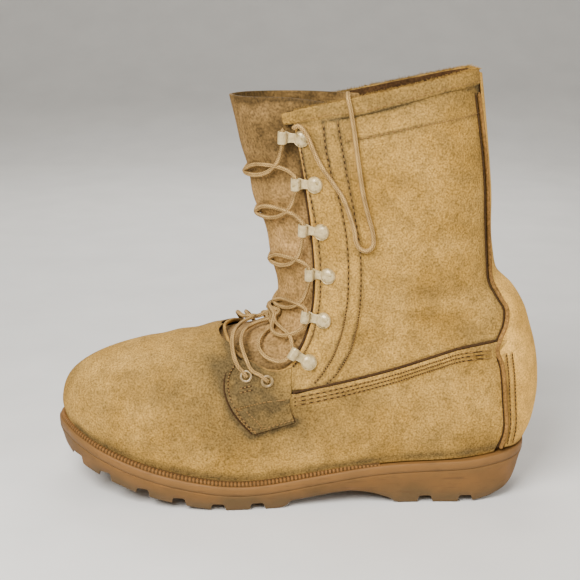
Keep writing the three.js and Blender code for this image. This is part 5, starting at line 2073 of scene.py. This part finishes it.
@dataclass
class Laces:
    """One round lace down the hooks to the lowest eyelets and back, and its free end."""

    radius: float = LACE_D / 2
    per_strand: int = 56
    dip: float = 1.6  # how far a strand sinks below the place where two cross
    bow: float = 3.6  # how far it rises above that place on its way to the next hook

    def build(self) -> None:
        """Makes the two laced runs, the bar across the lowest eyelets and the free end."""
        for number, first in enumerate(Side):
            lace = self.cord(f"lace_run_{first.word}", self.run(first))
            nodes = [f"lace_crossing_{n}" for n in range(1, 7) if n % 2 == number]
            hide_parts(*nodes)
        self.cord("lace_bar", self.bar())
        self.free_end()

    @staticmethod
    def laid(x: float, z: float, out: float, side: Side) -> Array:
        """A place given in the side view and by how far it stands off the leather."""
        level, share = LAST.find(x, z, side)
        return LAST.spot(level, share, out)

    @staticmethod
    def middle(height: float, out: float) -> tuple[Array, float]:
        """The place on the throat's middle line at a height, and its level.

        Args:
            height: height above the floor.
            out: how far off the leather the place is.

        Returns:
            The place and the level.
        """
        levels = np.linspace(5, COLLAR, 500)
        heights = LAST.at(levels, np.full(500, 0.5), creased=False)[0][:, 2]
        level = float(levels[int(np.argmax(heights > height))])
        return LAST.spot(level, 0.5, out), level

    def tip(self, row: int, side: Side, lowered: float) -> Array:
        """The place inside a hook's rolled end, above or below its strap.

        Args:
            row: the hook's number from the top, from 0.
            side: the side of the boot.
            lowered: how far below the strap, before the side's sign.

        Returns:
            The place.
        """
        matrix = hook_frame(HOOK_PLACES[row], side)
        local = np.array([HOOK_REACH - 0.8, side.value * lowered, HOOK_HEIGHT + 0.6])
        return matrix[:3, :3] @ local + matrix[:3, 3]

    def half(self, tip: Array, side: Side, crossing: Sequence[float], offset: float) -> list[Array]:
        """Places of a strand between a hook and the middle, as a quarter of an ellipse.

        Args:
            tip: the place in the hook.
            side: the hook's side.
            crossing: the height and the stand-off of the place where two strands cross.
            offset: how far above it this strand passes.

        Returns:
            The places, from the hook inwards.
        """
        level, share = LAST.find(tip[0], tip[2], side)
        target = self.middle(*crossing)[1] + offset / LAST.levels_per_ring
        places = []
        for along, rise in ((0.02, 0.28), (0.1, 0.6), (0.27, 0.88), (0.58, 1.0)):
            out = 2.2 + (crossing[1] - 2.2) * ease(np.array(along * 1.6))
            places.append(LAST.spot(level + (target - level) * rise, share + (0.5 - share) * along, out))
        return places

    def strand(self, row: int, side: Side, other: Side) -> list[Array]:
        """Places of the strand from a hook on one side to the next hook down on the other.

        Args:
            row: the upper hook's number from the top, from 0.
            side: its side.
            other: the lower hook's side.

        Returns:
            The places, from hook to hook.
        """
        crossing = CROSSINGS[row]
        leave, enter = self.tip(row, side, 4.2), self.tip(row + 1, other, -4.2)
        return [leave, *self.half(leave, side, crossing, -self.dip), self.middle(*crossing)[0],
            *self.half(enter, other, crossing, self.bow)[::-1], enter]

    def low(self, name: str, side: Side) -> list[Array]:
        """Places of a slack strand low in the throat."""
        return [self.laid(x, z, out, side) for x, z, out in LACE_LOW[name]]

    def run(self, first: Side) -> Array:
        """The lace from one side's top hook in a zigzag down to an upper eyelet.

        Args:
            first: the side of the top hook.

        Returns:
            The lace's centre line.
        """
        side = first
        path = [self.tip(0, side, -4.2) + (0, 0, 2), self.tip(0, side, 0)]
        for row in range(4):
            other = Side(-side.value)
            path += [*self.strand(row, side, other), self.tip(row + 1, other, 0)]
            side = other
        # The strands that pass each other at the middle keep a lace's width between them.
        spread = 1.4 * first.value
        other = Side(-side.value)
        path += [*self.low("from_hook_5", side), self.middle(125.6 + spread, 2.4)[0],
            *self.low("to_hook_6", other), self.tip(5, other, 0)]
        side, other = other, side
        path += [*self.low("from_hook_6", side), self.middle(121 + spread, -0.8)[0],
            *self.low("to_eyelet_1", other)]
        path += self.into_eyelet(EYELET_PLACES[0], other)
        return open_curve(path, self.per_strand * (len(HOOK_PLACES) + 1))

    @staticmethod
    def into_eyelet(place: Sequence[float], side: Side) -> list[Array]:
        """Places that turn a lace down through an eyelet."""
        level, share = LAST.find(*place, side)
        return [LAST.spot(level, share, out) for out in (2.2, -0.6, -4.2)]

    def bar(self) -> Array:
        """The lowest strand, slack across the front of the throat between the lower eyelets.

        Returns:
            The strand's centre line.
        """
        halves = [[*self.low("to_eyelet_2", side), *self.into_eyelet(EYELET_PLACES[1], side)]
            for side in Side]
        path = [*halves[0][::-1], self.middle(115.6, 3)[0], *halves[1]]
        return open_curve(path, self.per_strand * 2)

    def cord(self, name: str, path: Array, flat: float = 0.86) -> Piece:
        """A dressed length of lace, with v of its UV map in metres along it.

        Args:
            name: the piece's name.
            path: its centre line, in millimetres.
            flat: its height over its width, as it is pressed where it is pulled tight.

        Returns:
            The piece.
        """
        lace = round_cord(name, path, self.radius, 12, flat)
        length = run_length(path)[-1] / 1000
        for loop in lace.data.uv_layers[0].data:
            loop.uv[1] *= length
        dress(lace, Finishes.lace, slot="lace_cord")
        return lace

    def free_end(self) -> None:
        """The free end: from the top hook over the leather in a hanging loop and over the collar."""
        points = [self.laid(x, z, out, Side.OUTER) for x, z, out in LACE_END]
        share = LAST.find(123.5, 267, Side.OUTER)[1]
        rim = LAST.spot(COLLAR, share, 0)
        points += [rim + (0, -inwards, rise) for rise, inwards in LACE_OVER_COLLAR]
        path = open_curve(points, 330)
        cord = self.cord("lace_free_end", path, 1)
        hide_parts("lace_end")
        metres = Plan.metres(path)


# ---- setting
@dataclass
class Studio:
    """A pale paper floor, soft lights and the camera."""

    eye: tuple[float, float, float] = (146, 811, 376)
    aim: tuple[float, float, float] = (160, 0, 137)
    lens: float = 78.4

    def build(self) -> None:
        """Makes the camera, the floor and the lights."""
        self.camera()
        self.floor()
        self.light("key", (480, 620, 760), (150, 0, 110), 600, 19)
        self.light("fill", (-700, 500, 420), (160, 0, 120), 800, 6)
        self.light("back", (200, -900, 800), (160, 0, 120), 900, 8)
        world = bpy.data.worlds.new("studio")
        world.use_nodes = True
        background = world.node_tree.nodes["Background"]
        background.inputs["Color"].default_value = linear("eeebe6")
        background.inputs["Strength"].default_value = 0.42
        bpy.context.scene.world = world

    @staticmethod
    def aimed(thing: Piece, place: Sequence[float], aim: Sequence[float]) -> None:
        """Puts a camera or light at a place, looking at another.

        Args:
            thing: the camera or light.
            place: where it stands.
            aim: what it looks at.
        """
        start, end = Vector(Plan.metres(np.array(place))), Vector(Plan.metres(np.array(aim)))
        thing.location = start
        thing.rotation_euler = (end - start).to_track_quat("-Z", "Y").to_euler()

    def camera(self) -> None:
        """The camera: at eye height over a bench, on the boot's outer side."""
        camera = bpy.data.objects.new("camera", bpy.data.cameras.new("camera"))
        camera.data.lens = self.lens
        camera.data.sensor_width = 36
        self.aimed(camera, self.eye, self.aim)
        bpy.context.scene.collection.objects.link(camera)
        bpy.context.scene.camera = camera

    def light(self, name: str, place: Sequence[float], aim: Sequence[float], size: float,
            watts: float) -> None:
        """A square soft light.

        Args:
            name: its name.
            place: where it stands.
            aim: what it lights.
            size: its side in millimetres.
            watts: its power.
        """
        lamp = bpy.data.objects.new(name, bpy.data.lights.new(name, "AREA"))
        lamp.data.size = size / 1000
        lamp.data.energy = watts
        self.aimed(lamp, place, aim)
        bpy.context.scene.collection.objects.link(lamp)

    @staticmethod
    def floor() -> None:
        """A wide sheet of paper on the floor, curved up behind the boot."""
        bend_start, bend_r = 1.1, 0.9
        paper, u, v = new_grid("paper", 40, 60)
        depth = (2 * v - 1) * 3.2
        back = np.clip(-depth - bend_start, 0, None)
        bend = np.minimum(back, bend_r)
        rise = bend_r - np.sqrt(np.clip(bend_r**2 - bend**2, 0, None)) + np.clip(back - bend_r, 0, None)
        depth = np.where(back > 0, -bend_start - bend, depth)
        write_points(paper, np.column_stack([(2 * u - 1) * 4, depth, rise]))
        smooth(paper, 60)
        paper.data.materials.append(Finishes.floor)


def main() -> None:
    """Builds the setting, the cords and then the boot from the sole up."""
    logging.basicConfig(level=logging.INFO, format="%(message)s")
    builders = [Studio(), Laces(), Sole(), UpperLeather(), EdgeRolls(), HeelCounter(), Tongue(), Stitching(),
        Hooks()]
    for builder in builders:
        builder.build()
        log.info("finished %s", type(builder).__name__)


if __name__ == "__main__":
    main()
